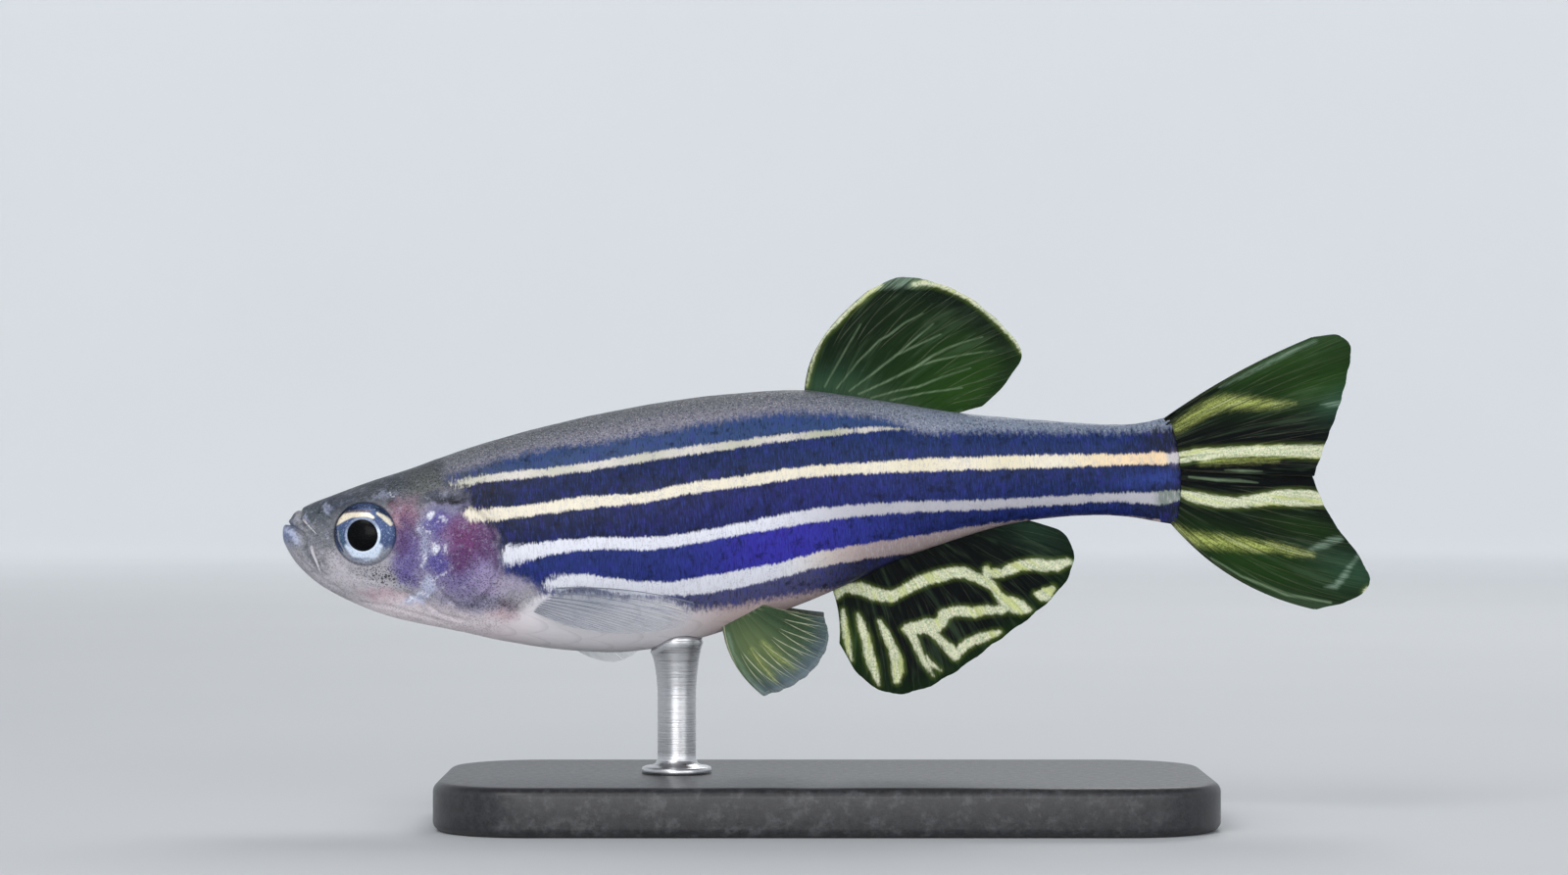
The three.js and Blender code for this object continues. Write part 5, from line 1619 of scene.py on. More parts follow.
@dataclass
class Stand:
    """The flat base with rounded corners and the rod that carries the fish."""

    base_low: Triple
    base_high: Triple
    corner: float = 4.0
    round_edge: float = 0.4
    rod_radius: float = 0.8
    flange_radius: float = 1.45
    flange_height: float = 0.35
    cup_radius: float = 1.1

    def outline(self, inset: float, count: int) -> Array:
        """The base's outline moved inwards: a rectangle whose corners are quarter circles, in equal steps.

        Args:
            inset: how far it is moved in.
            count: number of points.

        Returns:
            Rows of x and y.
        """
        x, y = ((self.base_high[k] - self.base_low[k]) / 2 - inset for k in (0, 1))
        r = max(self.corner - inset, 0.05)
        turn = np.linspace(0, math.pi / 2, 16)
        corners = []
        for k, (cx, cy) in enumerate(((x - r, y - r), (r - x, y - r), (r - x, r - y), (x - r, r - y))):
            a = turn + k * math.pi / 2
            corners.append(np.stack([cx + r * np.cos(a), cy + r * np.sin(a)], axis=1))
        return even_steps(np.vstack(corners + [corners[0][:1]]), count, last=False)

    def build_base(self) -> bpy.types.Object:
        """The base: rings from the middle of the underside, round its edges and to the middle of the top.

        The edges are quarter circles, and inner rings are the outline shrunk towards the middle.

        Returns:
            The base object, which replaces its node.
        """
        around, height, e = 200, self.base_high[2] - self.base_low[2], self.round_edge
        edge = [(e * (1 - math.sin(a)), e * (1 - math.cos(a)), 1.0) for a in np.linspace(0, math.pi / 2, 7)]
        rings = [(e, 0.0, k) for k in (0.3, 0.7)] + edge
        rings += [(inset, height - z, k) for inset, z, k in reversed(edge)]
        rings += [(e, height, k) for k in (0.97, 0.85, 0.6, 0.3)]
        grid = np.stack([
            np.column_stack([self.outline(inset, around) * k, np.full(around, z)]) for inset, z, k in rings])
        parts = MeshParts(in_fish=False).add(*capped(grid, np.zeros(3), np.array([0, 0, height])))
        made = parts.build("base")
        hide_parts("stand_base")
        return made

    def belly_height(self, x: Array, y: Array) -> Array:
        """Height of the belly's underside over a point of the rod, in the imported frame, by three steps.

        Args:
            x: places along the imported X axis, in millimetres.
            y: places across.

        Returns:
            Heights in millimetres.
        """
        (c, sn), (x0, z0) = FISH.turn(), FISH.origin()
        h = np.full(x.shape, -5.6)
        for _ in range(3):
            s = (x - x0 + h * sn) / c
            waist = BODY.widest.at(s)
            share = np.clip(np.abs(y) / BODY.half_width.at(s), 0, 1) ** (1 / BODY.belly_roundness)
            h = waist - (waist - BODY.belly.at(s)) * np.sqrt(1 - share**2)
        return z0 + s * sn + h * c

    def build_rod(self) -> bpy.types.Object:
        """The rod: a turned profile with a flange at its foot and a small cup whose rim follows the belly.

        Each ring is a circle of the profile's radius, and towards the top its height moves to the belly's.

        Returns:
            The rod object, which replaces its node.
        """
        low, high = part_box("stand_rod")
        middle, top = (low.x + high.x) * 500, high.z * 1000 - 0.6
        rod, flange, cup, e, around = self.rod_radius, self.flange_radius, self.cup_radius, 0.12, 64
        foot = self.base_high[2] - 0.05
        rise = foot + self.flange_height
        profile = [(0.5, foot), (flange, foot), (flange, rise - e), (flange - 0.03, rise - 0.04),
                   (flange - e, rise), (rod + 0.3, rise + 0.02), (rod + 0.1, rise + 0.1), (rod, rise + 0.3)]
        profile += [(rod, z) for z in np.linspace(foot + 0.9, top - 1.3, 8)]
        profile += [(rod + (cup - rod) * f**2, top - 1.3 + 1.0 * f) for f in np.linspace(0, 1, 8)[1:]]
        profile += [(cup - 0.05, top + 0.1), (cup - 0.25, top + 0.12)]
        radius, z = np.array(profile).T[:, :, None]
        turn = np.linspace(0, 2 * math.pi, around, endpoint=False)
        x, y = middle + radius * np.cos(turn), radius * np.sin(turn)
        belly = self.belly_height(x, y)
        height = z + smoothstep(top - 1.2, top, z) * (belly + 0.02 - z)
        height[-2:] = belly[-2:] + np.array([[0.06], [0.1]])
        end = np.array([middle, 0, float(belly.mean()) + 0.1])
        rings = capped(np.stack([x, y, height], axis=-1), np.array([middle, 0, foot]), end)
        made = MeshParts(in_fish=False).add(*rings).build("rod")
        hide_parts("stand_rod")
        return made


class Graph:
    """A short way to add and join nodes in a material or a node group."""

    def __init__(self, tree: bpy.types.NodeTree) -> None:
        """Keeps the tree that nodes are added to."""
        self.tree = tree

    def join(self, made: bpy.types.Node, feeds: dict[str | int, Feed]) -> bpy.types.Node:
        """Links or sets a node's inputs.

        Args:
            made: the node.
            feeds: for inputs by name or number, a socket to link or a value to set.

        Returns:
            The node.
        """
        for key, value in feeds.items():
            if isinstance(value, Socket):
                self.tree.links.new(value, made.inputs[key])
            else:
                made.inputs[key].default_value = value
        return made

    def node(self, kind: str, feeds: dict | None = None, **settings: object) -> bpy.types.Node:
        """Adds a node.

        Args:
            kind: the node's type, without the word ShaderNode.
            feeds: for inputs by name or number, a socket to link or a value to set.
            settings: the node's own settings.

        Returns:
            The node.
        """
        made = self.tree.nodes.new("ShaderNode" + kind)
        for name, value in settings.items():
            setattr(made, name, value)
        return self.join(made, feeds or {})

    def math(self, operation: str, a: Feed, b: Feed = 0.0, clamp: bool = False) -> Socket:
        """One arithmetic step on two numbers."""
        return self.node("Math", {0: a, 1: b}, operation=operation, use_clamp=clamp).outputs[0]

    def mul(self, a: Feed, b: Feed) -> Socket:
        """The product of two numbers."""
        return self.math("MULTIPLY", a, b)

    def sub(self, a: Feed, b: Feed) -> Socket:
        """The difference of two numbers."""
        return self.math("SUBTRACT", a, b)

    def most(self, first: Feed, *others: Feed) -> Socket:
        """The largest of several numbers.

        Args:
            first: one number.
            others: the other numbers.

        Returns:
            The largest.
        """
        for other in others:
            first = self.math("MAXIMUM", first, other)
        return first

    def ease(self, value: Feed, low: float, high: float, start: float = 0.0, end: float = 1.0) -> Socket:
        """A smooth step from start to end while the value goes from low to high."""
        feeds = {"Value": value, "From Min": low, "From Max": high, "To Min": start, "To Max": end}
        return self.node("MapRange", feeds, interpolation_type="SMOOTHSTEP").outputs[0]

    def mix(self, share: Feed, a: Feed | Tint, b: Feed | Tint) -> Socket:
        """Two colours mixed by a share."""
        a, b = (v.linear() if isinstance(v, Tint) else v for v in (a, b))
        return self.node("Mix", {0: share, 6: a, 7: b}, data_type="RGBA").outputs[2]

    def lay(self, base: Feed, *layers: tuple[Tint | Socket, Feed, float]) -> Socket:
        """A colour with tints laid over it in order.

        Args:
            base: the colour below.
            layers: for each tint or colour, its share and the share's strength.

        Returns:
            The colour.
        """
        for tint, share, strength in layers:
            base = self.mix(share if strength == 1 else self.mul(share, strength), base, tint)
        return base

    def noise(self, vector: Socket, scale: Feed, detail: float = 2.0, rough: float = 0.5) -> Socket:
        """Cloudy noise around one half."""
        feeds = {"Vector": vector, "Scale": scale, "Detail": detail, "Roughness": rough}
        return self.node("TexNoise", feeds).outputs[0]

    def stretch(self, vector: Socket, scale: Feed) -> Socket:
        """A vector with its three numbers multiplied."""
        return self.node("VectorMath", {0: vector, 1: scale}, operation="MULTIPLY").outputs[0]

    def attribute(self, name: str, colour: bool = False) -> Socket:
        """A number or a colour that is stored at the mesh's points."""
        return self.node("Attribute", attribute_name=name).outputs["Color" if colour else "Fac"]

    def model_mm(self) -> Socket:
        """Object coordinates in millimetres."""
        return self.stretch(self.node("TexCoord").outputs["Object"], (1000.0, 1000.0, 1000.0))

    def place(self) -> Socket:
        """Object coordinates turned and scaled to the fish's own frame.

        Returns:
            Coordinates in millimetres.
        """
        (c, s), (x, z) = FISH.turn(), FISH.origin()
        feeds = {"Vector": self.node("TexCoord").outputs["Object"], "Scale": (1000.0, 1000.0, 1000.0),
                 "Rotation": (0.0, math.radians(FISH.nose_down_deg), 0.0),
                 "Location": (-(x * c + z * s), 0.0, x * s - z * c)}
        return self.node("Mapping", feeds).outputs[0]

    def group(self, tree: bpy.types.NodeTree, feeds: dict[str, Feed]) -> Socket:
        """Places a shared group with its own values and gives its output."""
        return self.node("Group", feeds, node_tree=tree).outputs[0]

    def bump(self, height: Socket, strength: float, distance_mm: float) -> Socket:
        """Normals bent by a height."""
        feeds = {"Strength": strength, "Distance": distance_mm / 1000, "Height": height}
        return self.node("Bump", feeds).outputs[0]


class Effects:
    """The shared node groups: ragged edges, dark speckles, fine streaks and grain."""

    def __init__(self) -> None:
        """Builds each group once."""
        self.ragged = self.build("ragged edge", "Place Stretch Depth Fray Soft", "Mask", self.ragged_edge)
        self.speckles = self.build("speckles", "Place Size Amount Dot", "Mask", self.separate_dots)
        self.streaks = self.build("streaks", "Place Stretch Sharp", "Streak", self.fine_streaks)
        self.grain = self.build("grain", "Place Coarse Fine", "Grain", self.two_sizes)

    def build(self, name: str, inputs: str, output: str, fill: Callable[..., Socket]) -> bpy.types.NodeTree:
        """One group with named sockets, of which Place and Stretch are vectors and the others numbers.

        Args:
            name: the group's name.
            inputs: the names of its inputs.
            output: the name of its one output.
            fill: adds the nodes to a graph, from the input sockets in order, and gives the last socket.

        Returns:
            The group.
        """
        tree = bpy.data.node_groups.new(name, "ShaderNodeTree")
        names = inputs.split()
        for key in names:
            kind = "NodeSocketVector" if key in ("Place", "Stretch") else "NodeSocketFloat"
            tree.interface.new_socket(name=key, in_out="INPUT", socket_type=kind)
        tree.interface.new_socket(name=output, in_out="OUTPUT", socket_type="NodeSocketFloat")
        source, end = tree.nodes.new("NodeGroupInput"), tree.nodes.new("NodeGroupOutput")
        tree.links.new(fill(Graph(tree), *(source.outputs[key] for key in names)), end.inputs[0])
        return tree

    @staticmethod
    def ragged_edge(g: Graph, place: Socket, stretch: Socket, depth: Socket, fray: Socket,
                    soft: Socket) -> Socket:
        """A mask that is 1 inside a marking, whose edge is frayed by stretched noise.

        Args:
            g: the group's graph.
            place: coordinates.
            stretch: the noise's scale on each axis.
            depth: how far inside the marking a point is.
            fray: how far the noise moves the edge.
            soft: half width of the edge.

        Returns:
            The mask.
        """
        noise = g.sub(g.noise(g.stretch(place, stretch), 1.0, 5.0, 0.7), 0.5)
        depth = g.math("ADD", depth, g.mul(noise, g.mul(fray, 3.2)))
        return g.ease(g.math("DIVIDE", depth, soft), -1.0, 1.0)

    @staticmethod
    def separate_dots(g: Graph, place: Socket, size: Socket, amount: Socket, dot: Socket) -> Socket:
        """A mask of separate round dots, of which a share is left out by chance.

        Args:
            g: the group's graph.
            place: coordinates.
            size: the dots' spacing.
            amount: the share of dots that is there.
            dot: a dot's radius as a share of the spacing.

        Returns:
            The mask.
        """
        cells = g.node("TexVoronoi", {"Vector": place, "Scale": g.math("DIVIDE", 1.0, size)})
        chance = g.node("SeparateColor", {0: cells.outputs["Color"]}).outputs[0]
        there = g.math("GREATER_THAN", amount, chance)
        return g.mul(g.ease(g.sub(dot, cells.outputs["Distance"]), -0.06, 0.08), there)

    @staticmethod
    def fine_streaks(g: Graph, place: Socket, stretch: Socket, sharp: Socket) -> Socket:
        """Stretched noise, sharpened, from 0 to 1."""
        noise = g.sub(g.noise(g.stretch(place, stretch), 1.0, 3.0, 0.6), 0.5)
        return g.math("ADD", g.mul(noise, sharp), 0.5, clamp=True)

    @staticmethod
    def two_sizes(g: Graph, place: Socket, coarse: Socket, fine: Socket) -> Socket:
        """Two sizes of noise added, for fine height or tone changes around one half."""
        return g.math("ADD", g.mul(g.noise(place, coarse), 0.55), g.mul(g.noise(place, fine), 0.45))


def new_material(name: str) -> tuple[bpy.types.Material, Graph, bpy.types.Node]:
    """A material with its Principled shader joined to the output.

    Args:
        name: the material's name.

    Returns:
        The material, its graph and the shader node.
    """
    material = bpy.data.materials.new(name)
    material.use_nodes = True
    material.node_tree.nodes.clear()
    g = Graph(material.node_tree)
    shader = g.node("BsdfPrincipled")
    g.node("OutputMaterial", {0: shader.outputs[0]})
    return material, g, shader


def feed(g: Graph, shader: bpy.types.Node, **feeds: Feed) -> None:
    """Sets or links shader inputs, whose names are written with underscores."""
    g.join(shader, {key.replace("_", " "): value for key, value in feeds.items()})


@dataclass(frozen=True)
class SkinFinish:
    """Wet scaled skin: pale stripes on dark blue, speckled back, silver belly and a mottled head."""

    name: str
    on_scales: bool
    roughness: float = 0.44
    coat: float = 0.05
    coat_roughness: float = 0.2
    gloss: float = 0.14

    def colour(self, g: Graph, fx: Effects, place: Socket) -> tuple[Socket, Socket]:
        """The colour: bands, back, belly, head and stripes laid over each other through frayed masks.

        Args:
            g: the material's graph.
            fx: the shared groups.
            place: coordinates in the fish's frame.

        Returns:
            The colour, and the mask of the pale stripes.
        """
        band, pale, back, belly, head = (
            g.attribute(key + "_tint", colour=True) for key in ("band", "pale", "back", "belly", "head"))
        streak = g.group(fx.streaks, {"Place": place, "Stretch": (19.0, 5.0, 2.8), "Sharp": 2.4})
        blotch, fine = g.noise(place, 2.4, 3.0, 0.6), g.noise(place, 17.0, 2.0, 0.6)
        dots = g.group(fx.speckles, {"Place": place, "Size": 0.13, "Amount": 0.8, "Dot": 0.38})

        def edge(key: str, fray: float, soft: float, stretch: Triple = (8.0, 5.0, 2.6)) -> Socket:
            """The frayed mask of one zone."""
            feeds = {"Place": place, "Stretch": stretch, "Fray": fray, "Soft": soft}
            return g.group(fx.ragged, feeds | {"Depth": g.attribute(key)})

        band = g.lay(
            band, (Tint.AZURE, g.ease(streak, 0.5, 1.0), 0.45), (Tint.INK, g.ease(streak, 0.5, 0.1), 0.5),
            (Tint.VIOLET, g.ease(blotch, 0.5, 0.7), 0.22), (Tint.INK, g.ease(blotch, 0.46, 0.3), 0.6))
        back = g.lay(back, (Tint.MELANIN, dots, 0.5), (Tint.PEARL, g.ease(fine, 0.48, 0.7), 0.6),
                     (Tint.STEEL_BLUE, g.ease(streak, 0.55, 1.0), 0.35))
        belly = g.lay(belly, (Tint.SILVER, g.ease(fine, 0.5, 0.8), 0.25))
        clouds = g.mul(g.ease(fine, 0.5, 0.3), g.ease(blotch, 0.4, 0.6))
        pale = g.lay(pale, (Tint.PEARL, g.ease(streak, 0.55, 0.1), 0.55), (Tint.SLATE, clouds, 0.45))
        stripes = edge("pale", 0.12, 0.06, (14.0, 5.0, 3.4))
        colour = g.lay(band, (back, edge("back", 0.3, 0.22), 1), (belly, edge("belly", 0.3, 0.22), 1),
                       (self.head(g, fx, place, head), edge("head", 0.3, 0.3, (4.0, 4.0, 3.0)), 1),
                       (pale, stripes, 1))
        if self.on_scales:
            rim = g.mul(g.ease(g.attribute("rim"), 0.82, 1.0), g.ease(g.attribute("pale"), 0.05, -0.05))
            colour = g.lay(colour, (Tint.INK, rim, 0.12))
        return colour, stripes

    def head(self, g: Graph, fx: Effects, place: Socket, tint: Socket) -> Socket:
        """The head's colour: its tints clouded by noise, with dark dots and bright flecks in their zones.

        Args:
            g: the material's graph.
            fx: the shared groups.
            place: coordinates in the fish's frame.
            tint: the head's stored tint.

        Returns:
            The colour.
        """
        cloud, fine = g.noise(place, 2.8, 4.0, 0.65), g.noise(place, 11.0, 3.0, 0.65)
        chips = g.mul(g.attribute("flecked"), g.ease(g.noise(place, 5.0, 3.0, 0.65), 0.56, 0.7))
        dotted = g.attribute("dotted")
        small = g.group(fx.speckles, {"Place": place, "Size": 0.08, "Amount": 0.85, "Dot": 0.42})
        large = g.group(fx.speckles, {"Place": place, "Size": 0.17, "Amount": 0.6, "Dot": 0.36})
        return g.lay(
            tint, (Tint.ICE, g.ease(cloud, 0.53, 0.72), 0.22),
            (Tint.SKULL_DARK, g.ease(cloud, 0.47, 0.3), 0.3), (Tint.MELANIN, g.ease(fine, 0.47, 0.28), 0.4),
            (Tint.ICE, g.ease(fine, 0.56, 0.74), 0.3), (Tint.FLECK, chips, 0.7),
            (Tint.MELANIN, g.mul(small, g.ease(dotted, 0.0, 0.8, 0.35, 1.0)), 0.6),
            (Tint.MELANIN, g.mul(large, g.ease(dotted, 0.6, 0.95)), 0.8))

    def build(self, fx: Effects) -> bpy.types.Material:
        """The whole finish, with silvery gloss on pale scales and a fine relief.

        Args:
            fx: the shared groups.

        Returns:
            The material.
        """
        material, g, shader = new_material(self.name)
        place = g.place()
        colour, stripes = self.colour(g, fx, place)
        grain = g.group(fx.grain, {"Place": place, "Coarse": 5.0, "Fine": 22.0})
        rough = g.ease(grain, 0.3, 0.7, self.roughness - 0.08, self.roughness + 0.12)
        feed(g, shader, Base_Color=colour, Roughness=g.math("ADD", rough, g.mul(stripes, -0.06)),
             Metallic=g.mul(stripes, 0.12), Normal=g.bump(grain, 0.4, 0.04), Coat_Weight=self.coat,
             Coat_Roughness=self.coat_roughness, Specular_IOR_Level=self.gloss)
        return material


@dataclass(frozen=True)
class EyeFinish:
    """A black pupil with a thin silver ring in an iris of drawn marks, under a clear wet coat."""

    pupil: float = 0.66
    pupil_up: float = -0.04

    def build(self, fx: Effects) -> bpy.types.Material:
        """The stored iris with fibres and dark dots, then the ring and the pupil by distance from the middle.

        Args:
            fx: the shared groups.

        Returns:
            The material.
        """
        material, g, shader = new_material("eye_wet")
        place = g.place()
        back, up, out = (g.attribute(key) for key in ("eye_back", "eye_up", "eye_out"))
        up = g.sub(up, self.pupil_up)
        away = g.math("SQRT", g.math("ADD", g.mul(back, back), g.mul(up, up)))
        wave = g.node("CombineXYZ", {0: g.mul(g.math("ARCTAN2", up, back), 5.0), 1: g.mul(away, 2.5)})
        spokes, fine = g.noise(wave.outputs[0], 2.2, 4.0, 0.65), g.noise(place, 12.0, 3.0, 0.6)
        dots = g.group(fx.speckles, {"Place": place, "Size": 0.1, "Amount": 0.6, "Dot": 0.36})
        ring = g.mul(g.ease(away, self.pupil + 0.14, self.pupil + 0.07), g.ease(back, -0.6, -0.2, 0.4, 1.0))
        ring = g.mul(ring, g.ease(up, 0.45, 0.1, 0.35, 1.0))
        colour = g.lay(g.attribute("iris", colour=True), (Tint.IRIS_DARK, g.ease(spokes, 0.47, 0.3), 0.4),
                       (Tint.IRIS_ICE, g.ease(fine, 0.55, 0.72), 0.35),
                       (Tint.MELANIN, g.mul(dots, g.ease(up, -0.85, -1.05)), 0.6), (Tint.IRIS_ICE, ring, 1))
        dark = g.ease(away, self.pupil + 0.015, self.pupil - 0.015)
        colour = g.mix(dark, colour, (0.0008, 0.001, 0.0016, 1.0))
        colour = g.lay(colour, (Tint.IRIS_RIM, g.ease(out, -0.03, -0.14), 1))
        feed(g, shader, Base_Color=colour, Roughness=g.ease(fine, 0.3, 0.7, 0.24, 0.36),
             Metallic=g.mul(g.sub(1.0, dark), 0.2), Normal=g.bump(spokes, 0.2, 0.03), Coat_Weight=0.06,
             Coat_Roughness=0.03, Specular_IOR_Level=0.06)
        return material


@dataclass(frozen=True)
class FinFinish:
    """Clear fin membrane and rays with grainy pale and dark markings."""

    def build(self, fx: Effects) -> bpy.types.Material:
        """The stored ground colour streaked along the rays, with the marks over it through frayed masks.

        Args:
            fx: the shared groups.

        Returns:
            The material.
        """
        material, g, shader = new_material("fin_clear")
        fan, reach, ray = (g.attribute(key) for key in ("fan", "reach", "ray"))
        rays = g.node("CombineXYZ", {0: fan, 1: g.mul(reach, 9.0)}).outputs[0]
        streak = g.noise(g.stretch(rays, (9.0, 0.33, 1.0)), 1.0, 4.0, 0.7)
        broad = g.noise(g.stretch(rays, (2.3, 0.22, 1.0)), 1.0, 3.0, 0.6)
        fine = g.noise(g.place(), 14.0, 3.0, 0.65)

        def mark(kind: Mark, fray: float, soft: float, least: float) -> Socket:
            """The mask of one kind of marking, frayed along the rays, fainter where the streaks are low.

            Args:
                kind: the kind of marking.
                fray: how far its edge is frayed.
                soft: half width of its edge.
                least: its strength where the streaks are lowest.

            Returns:
                The mask.
            """
            feeds = {"Place": rays, "Stretch": (7.0, 1.5, 1.0), "Fray": fray, "Soft": soft}
            mask = g.group(fx.ragged, feeds | {"Depth": g.attribute(kind.value)})
            return g.mul(mask, g.ease(streak, 0.36, 0.6, least, 1.0))

        gold, cream = mark(Mark.GOLD, 0.2, 0.26, 0.2), mark(Mark.CREAM, 0.09, 0.07, 0.75)
        frost, thread = mark(Mark.FROST, 0.1, 0.12, 0.2), mark(Mark.THREAD, 0.02, 0.06, 0.5)
        dark = mark(Mark.DARK, 0.02, 0.04, 0.8)
        ground, grainy = g.attribute("membrane", colour=True), g.ease(fine, 0.3, 0.6)
        gold_tint = g.lay(g.mix(grainy, Tint.GREEN_GOLD, Tint.FIN_GOLD),
                          (Tint.FIN_CREAM, g.ease(broad, 0.5, 0.7), 0.3))
        cream_tint = g.lay(g.mix(grainy, Tint.FIN_PALE, Tint.FIN_CREAM),
                           (Tint.FIN_GOLD, g.ease(broad, 0.5, 0.38), 0.6))
        halo = g.mul(g.ease(g.attribute(Mark.CREAM.value), -0.24, 0.0), g.ease(streak, 0.3, 0.6, 0.3, 1.0))
        colour = g.lay(
            ground, (g.mix(0.45, ground, Tint.FIN_GREY), g.ease(broad, 0.5, 0.72), 0.6),
            (g.mix(0.4, ground, Tint.FIN_GREY), g.ease(streak, 0.5, 0.8), 0.35),
            (Tint.FIN_DARK, g.ease(streak, 0.48, 0.25), 0.6),
            (Tint.FIN_CREAM, g.mul(ray, g.ease(streak, 0.3, 0.7, 0.4, 1.0)), 1), (Tint.FIN_DARK, dark, 0.85),
            (Tint.FIN_PALE, thread, 0.5), (gold_tint, gold, 0.85), (Tint.FIN_FROST, frost, 0.6),
            (Tint.GREEN_GOLD, halo, 0.3), (cream_tint, cream, 1))
        bony = g.math("MINIMUM", g.mul(ray, 4.0), 0.9)
        clear = g.sub(1.0, g.mul(g.sub(1.0, g.attribute("cover")), g.ease(streak, 0.36, 0.5, 0.7, 1.0)))
        feed(g, shader, Base_Color=colour, Alpha=g.most(clear, gold, frost, cream, dark, bony),
             Roughness=g.ease(fine, 0.3, 0.7, 0.4, 0.55), Normal=g.bump(streak, 0.3, 0.03),
             Specular_IOR_Level=0.05)
        return material


@dataclass(frozen=True)
class BarbelFinish:
    """Soft wet skin, pinkish grey and paler at the tip."""

    def build(self, fx: Effects) -> bpy.types.Material:
        """A tint that runs from root to tip, clouded by grain.

        Args:
            fx: the shared groups.

        Returns:
            The material.
        """
        material, g, shader = new_material("barbel_skin")
        grain = g.group(fx.grain, {"Place": g.place(), "Coarse": 6.0, "Fine": 20.0})
        colour = g.mix(g.ease(g.attribute("reach"), 0.0, 0.6), Tint.CHIN, Tint.PEARL)
        colour = g.mix(g.ease(grain, 0.5, 0.35), colour, Tint.SNOUT)
        feed(g, shader, Base_Color=colour, Roughness=g.ease(grain, 0.3, 0.7, 0.28, 0.45),
             Normal=g.bump(grain, 0.3, 0.02), Coat_Weight=0.3, Coat_Roughness=0.15)
        return material


@dataclass(frozen=True)
class BaseFinish:
    """Satin black plastic with a fine moulded grain and faint wear on its edges."""

    def build(self, fx: Effects, half: Pair) -> bpy.types.Material:
        """Near black, lighter by chance along the rim, rougher where the grain is high.

        Args:
            fx: the shared groups.
            half: half length and half width of the base, in millimetres.

        Returns:
            The material.
        """
        material, g, shader = new_material("base_satin_black")
        place = g.model_mm()
        grain = g.group(fx.grain, {"Place": place, "Coarse": 3.0, "Fine": 11.0})
        parts = g.node("SeparateXYZ", {0: place})
        rim = g.most(*(g.sub(g.math("ABSOLUTE", parts.outputs[k]), half[k]) for k in (0, 1)))
        wear = g.mul(g.ease(rim, -0.5, -0.1), g.ease(g.noise(place, 1.8, 4.0, 0.7), 0.48, 0.7))
        colour = g.mix(g.ease(grain, 0.35, 0.65), (0.012, 0.012, 0.014, 1.0), (0.028, 0.028, 0.031, 1.0))
        colour = g.mix(g.mul(wear, 0.5), colour, (0.1, 0.1, 0.105, 1.0))
        feed(g, shader, Base_Color=colour, Roughness=g.ease(grain, 0.3, 0.7, 0.34, 0.44),
             Normal=g.bump(grain, 0.25, 0.04))
        return material


@dataclass(frozen=True)
class RodFinish:
    """Steel brushed round the rod."""

    def build(self, fx: Effects) -> bpy.types.Material:
        """Fine rings of noise in tone, roughness and height.

        Args:
            fx: the shared groups.

        Returns:
            The material.
        """
        material, g, shader = new_material("rod_brushed_steel")
        place = g.node("TexCoord").outputs["Object"]
        rings = g.group(fx.streaks, {"Place": place, "Stretch": (500.0, 500.0, 26000.0), "Sharp": 2.0})
        colour = g.mix(rings, (0.5, 0.5, 0.51, 1.0), (0.62, 0.62, 0.64, 1.0))
        feed(g, shader, Base_Color=colour, Metallic=1.0, Roughness=g.ease(rings, 0.0, 1.0, 0.2, 0.38),
             Normal=g.bump(rings, 0.25, 0.02))
        return material


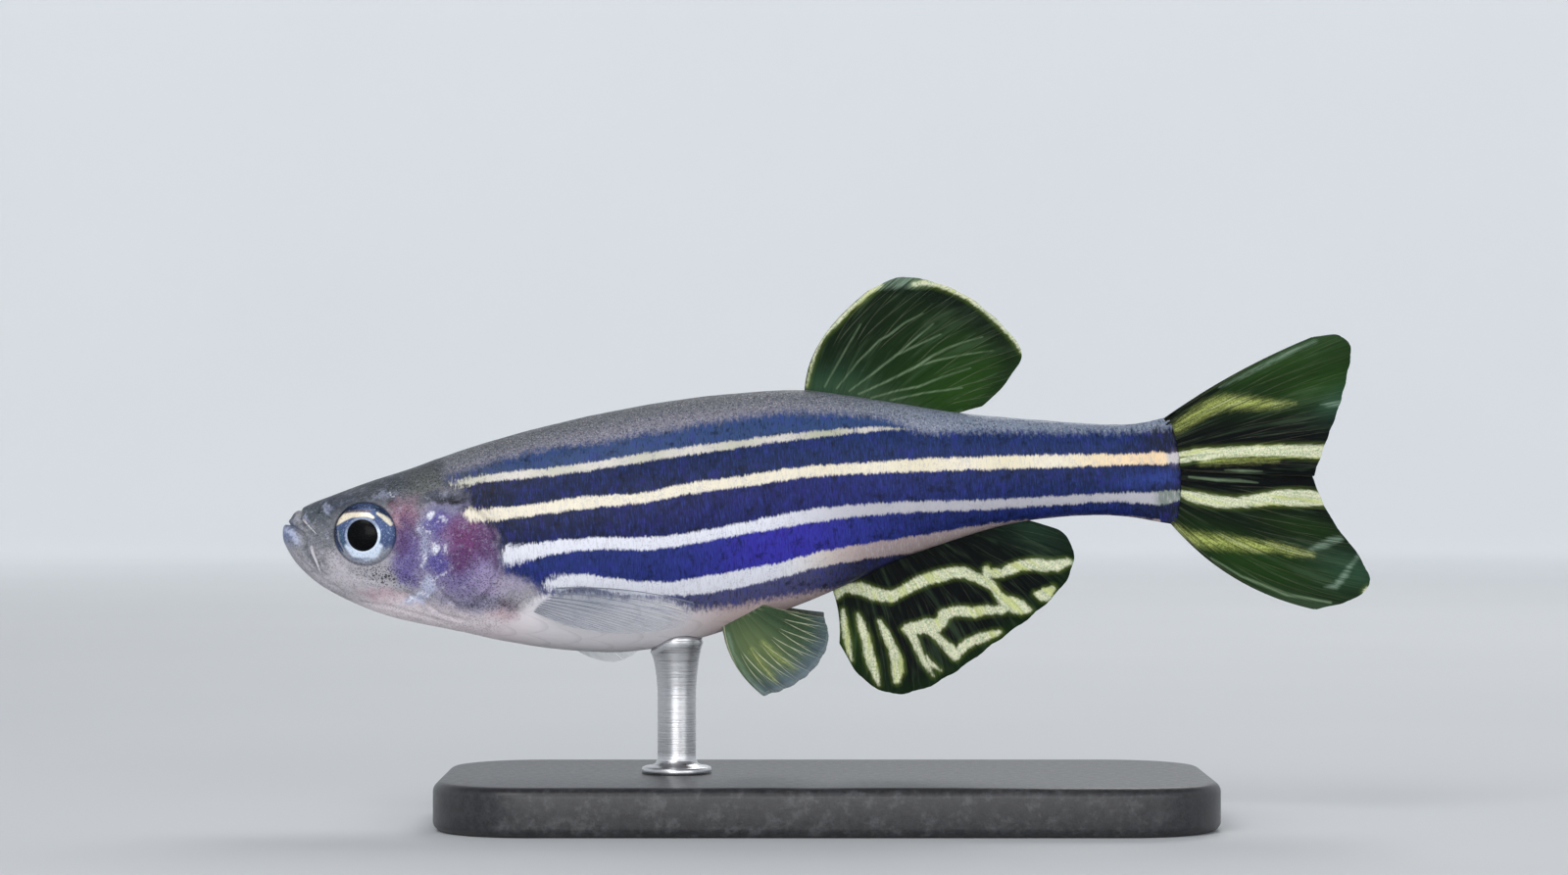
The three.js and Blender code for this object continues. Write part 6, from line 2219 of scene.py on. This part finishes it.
@dataclass(frozen=True)
class Studio:
    """A plain pale bowl whose wall glows with painted light, soft lights, and the camera level with the fish,
    as in the photograph.
    """

    aim: Pair = (-1.737, 15.947)
    distance: float = 181.0
    lens: float = 100.0
    floor_radius: float = 450.0
    bend_radius: float = 150.0
    wall_height: float = 420.0

    def build_sweep(self) -> None:
        """The floor: a flat disc, then a quarter circle up into a round wall, about the model's axis. From
        120 mm out it glows more and more, a painted light that brightens the wall and lights the fish.
        """
        turn, around, flat = np.linspace(0, math.pi / 2, 24)[1:], 96, 12
        floor, bend = self.floor_radius, self.bend_radius
        radius = [np.linspace(20, floor, flat), floor + bend * np.sin(turn), [floor + bend]]
        height = [np.zeros(flat), bend * (1 - np.cos(turn)), [self.wall_height]]
        radius, height = (np.concatenate(parts)[:, None] for parts in (radius, height))
        angle = np.linspace(0, 2 * math.pi, around, endpoint=False)
        rings = np.stack([radius * np.cos(angle), radius * np.sin(angle), height + 0 * angle], axis=-1)
        points = np.vstack([rings.reshape(-1, 3), [[0, 0, 0]]])
        middle = fan_faces(np.arange(around)[::-1], len(points) - 1)
        faces = [grid_faces(len(radius), around, wrap=True), middle]
        floor = MeshParts(in_fish=False).add(points, faces).build("floor")
        material, g, shader = new_material("floor_pale_glowing")
        place = g.model_mm()
        tone = g.mix(g.noise(place, 0.02), (0.62, 0.64, 0.66, 1.0), (0.68, 0.69, 0.7, 1.0))
        away = g.node("VectorMath", {0: place}, operation="LENGTH").outputs[1]
        # painted light: the bowl is no lamp, but it glows from 120 mm out and most on the wall, which
        # brightens the backdrop and lights the fish
        glow = g.mix(g.ease(away, 120.0, 460.0), (0.0, 0.0, 0.0, 1.0), (0.33, 0.345, 0.36, 1.0))
        feed(g, shader, Base_Color=tone, Roughness=0.75, Emission_Color=glow, Emission_Strength=1.0)
        material.cycles.emission_sampling = "NONE"
        floor.data.materials.append(material)

    def build_light(self, name: str, place: Triple, size: float, power: float) -> None:
        """A square soft light that points at the fish.

        Args:
            name: the light's name.
            place: where it stands, in millimetres.
            size: its side in millimetres.
            power: its power in watts.
        """
        data = bpy.data.lights.new(name, "AREA")
        data.energy, data.size = power, size / 1000
        light = bpy.data.objects.new(name, data)
        bpy.context.scene.collection.objects.link(light)
        light.location = tuple(v / 1000 for v in place)
        light.visible_camera = False
        x, y, z = place[0] - self.aim[0], place[1], place[2] - self.aim[1]
        light.rotation_euler = (math.atan2(math.hypot(x, y), z), 0, math.atan2(x, -y))

    def build(self) -> None:
        """Sweep, lights, sky and camera."""
        self.build_sweep()
        self.build_light("key", (-110, -230, 240), 160, 0.36)
        self.build_light("fill", (190, -260, 60), 200, 0.22)
        self.build_light("rim", (60, 190, 210), 140, 0.26)
        self.build_light("front", (-40, -300, 18), 180, 0.4)
        world = bpy.data.worlds.new("studio")
        world.use_nodes = True
        sky = world.node_tree.nodes["Background"].inputs
        sky[0].default_value, sky[1].default_value = (0.82, 0.86, 0.92, 1.0), 0.24
        data = bpy.data.cameras.new("camera")
        data.lens, data.sensor_width, data.clip_start = self.lens, 36.0, 0.005
        camera = bpy.data.objects.new("camera", data)
        camera.location = (self.aim[0] / 1000, -self.distance / 1000, self.aim[1] / 1000)
        camera.rotation_euler = (math.pi / 2, 0, 0)
        scene = bpy.context.scene
        scene.collection.objects.link(camera)
        scene.world, scene.camera = world, camera
        scene.view_settings.view_transform = "Standard"


def dress(made: bpy.types.Object, material: bpy.types.Material) -> None:
    """Gives a piece its finish and reports it."""
    made.data.materials.append(material)
    log.info("%s: %d faces, %s", made.name, len(made.data.polygons), material.name)


def main() -> None:
    """Builds and dresses every sub-assembly in order, then the studio."""
    logging.basicConfig(level=logging.INFO, format="%(name)s: %(message)s")
    fx = Effects()
    dress(FleshSkin().build(), SkinFinish("skin_wet", on_scales=False).build(fx))
    dress(ScaleCoat().build(), SkinFinish("scales_wet", on_scales=True).build(fx))
    eye = EyeFinish().build(fx)
    dress(EyeBall().build(-1, "eye_left"), eye)
    dress(EyeBall().build(1, "eye_right"), eye)
    clear = FinFinish().build(fx)
    for form in FINS:
        dress(form.build_membrane(), clear)
        dress(form.build_rays(), clear)
    soft = BarbelFinish().build(fx)
    for side, word in ((-1, "left"), (1, "right")):
        dress(MOUTH_BARBEL.build(side, "mouth_barbel_" + word), soft)
        dress(NOSE_BARBEL.build(side, "nose_barbel_" + word), soft)
    low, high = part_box("stand_base")
    stand = Stand(tuple(v * 1000 for v in low), tuple(v * 1000 for v in high))
    dress(stand.build_base(), BaseFinish().build(fx, (stand.base_high[0], stand.base_high[1])))
    dress(stand.build_rod(), RodFinish().build(fx))
    Studio().build()


if __name__ == "__main__":
    main()
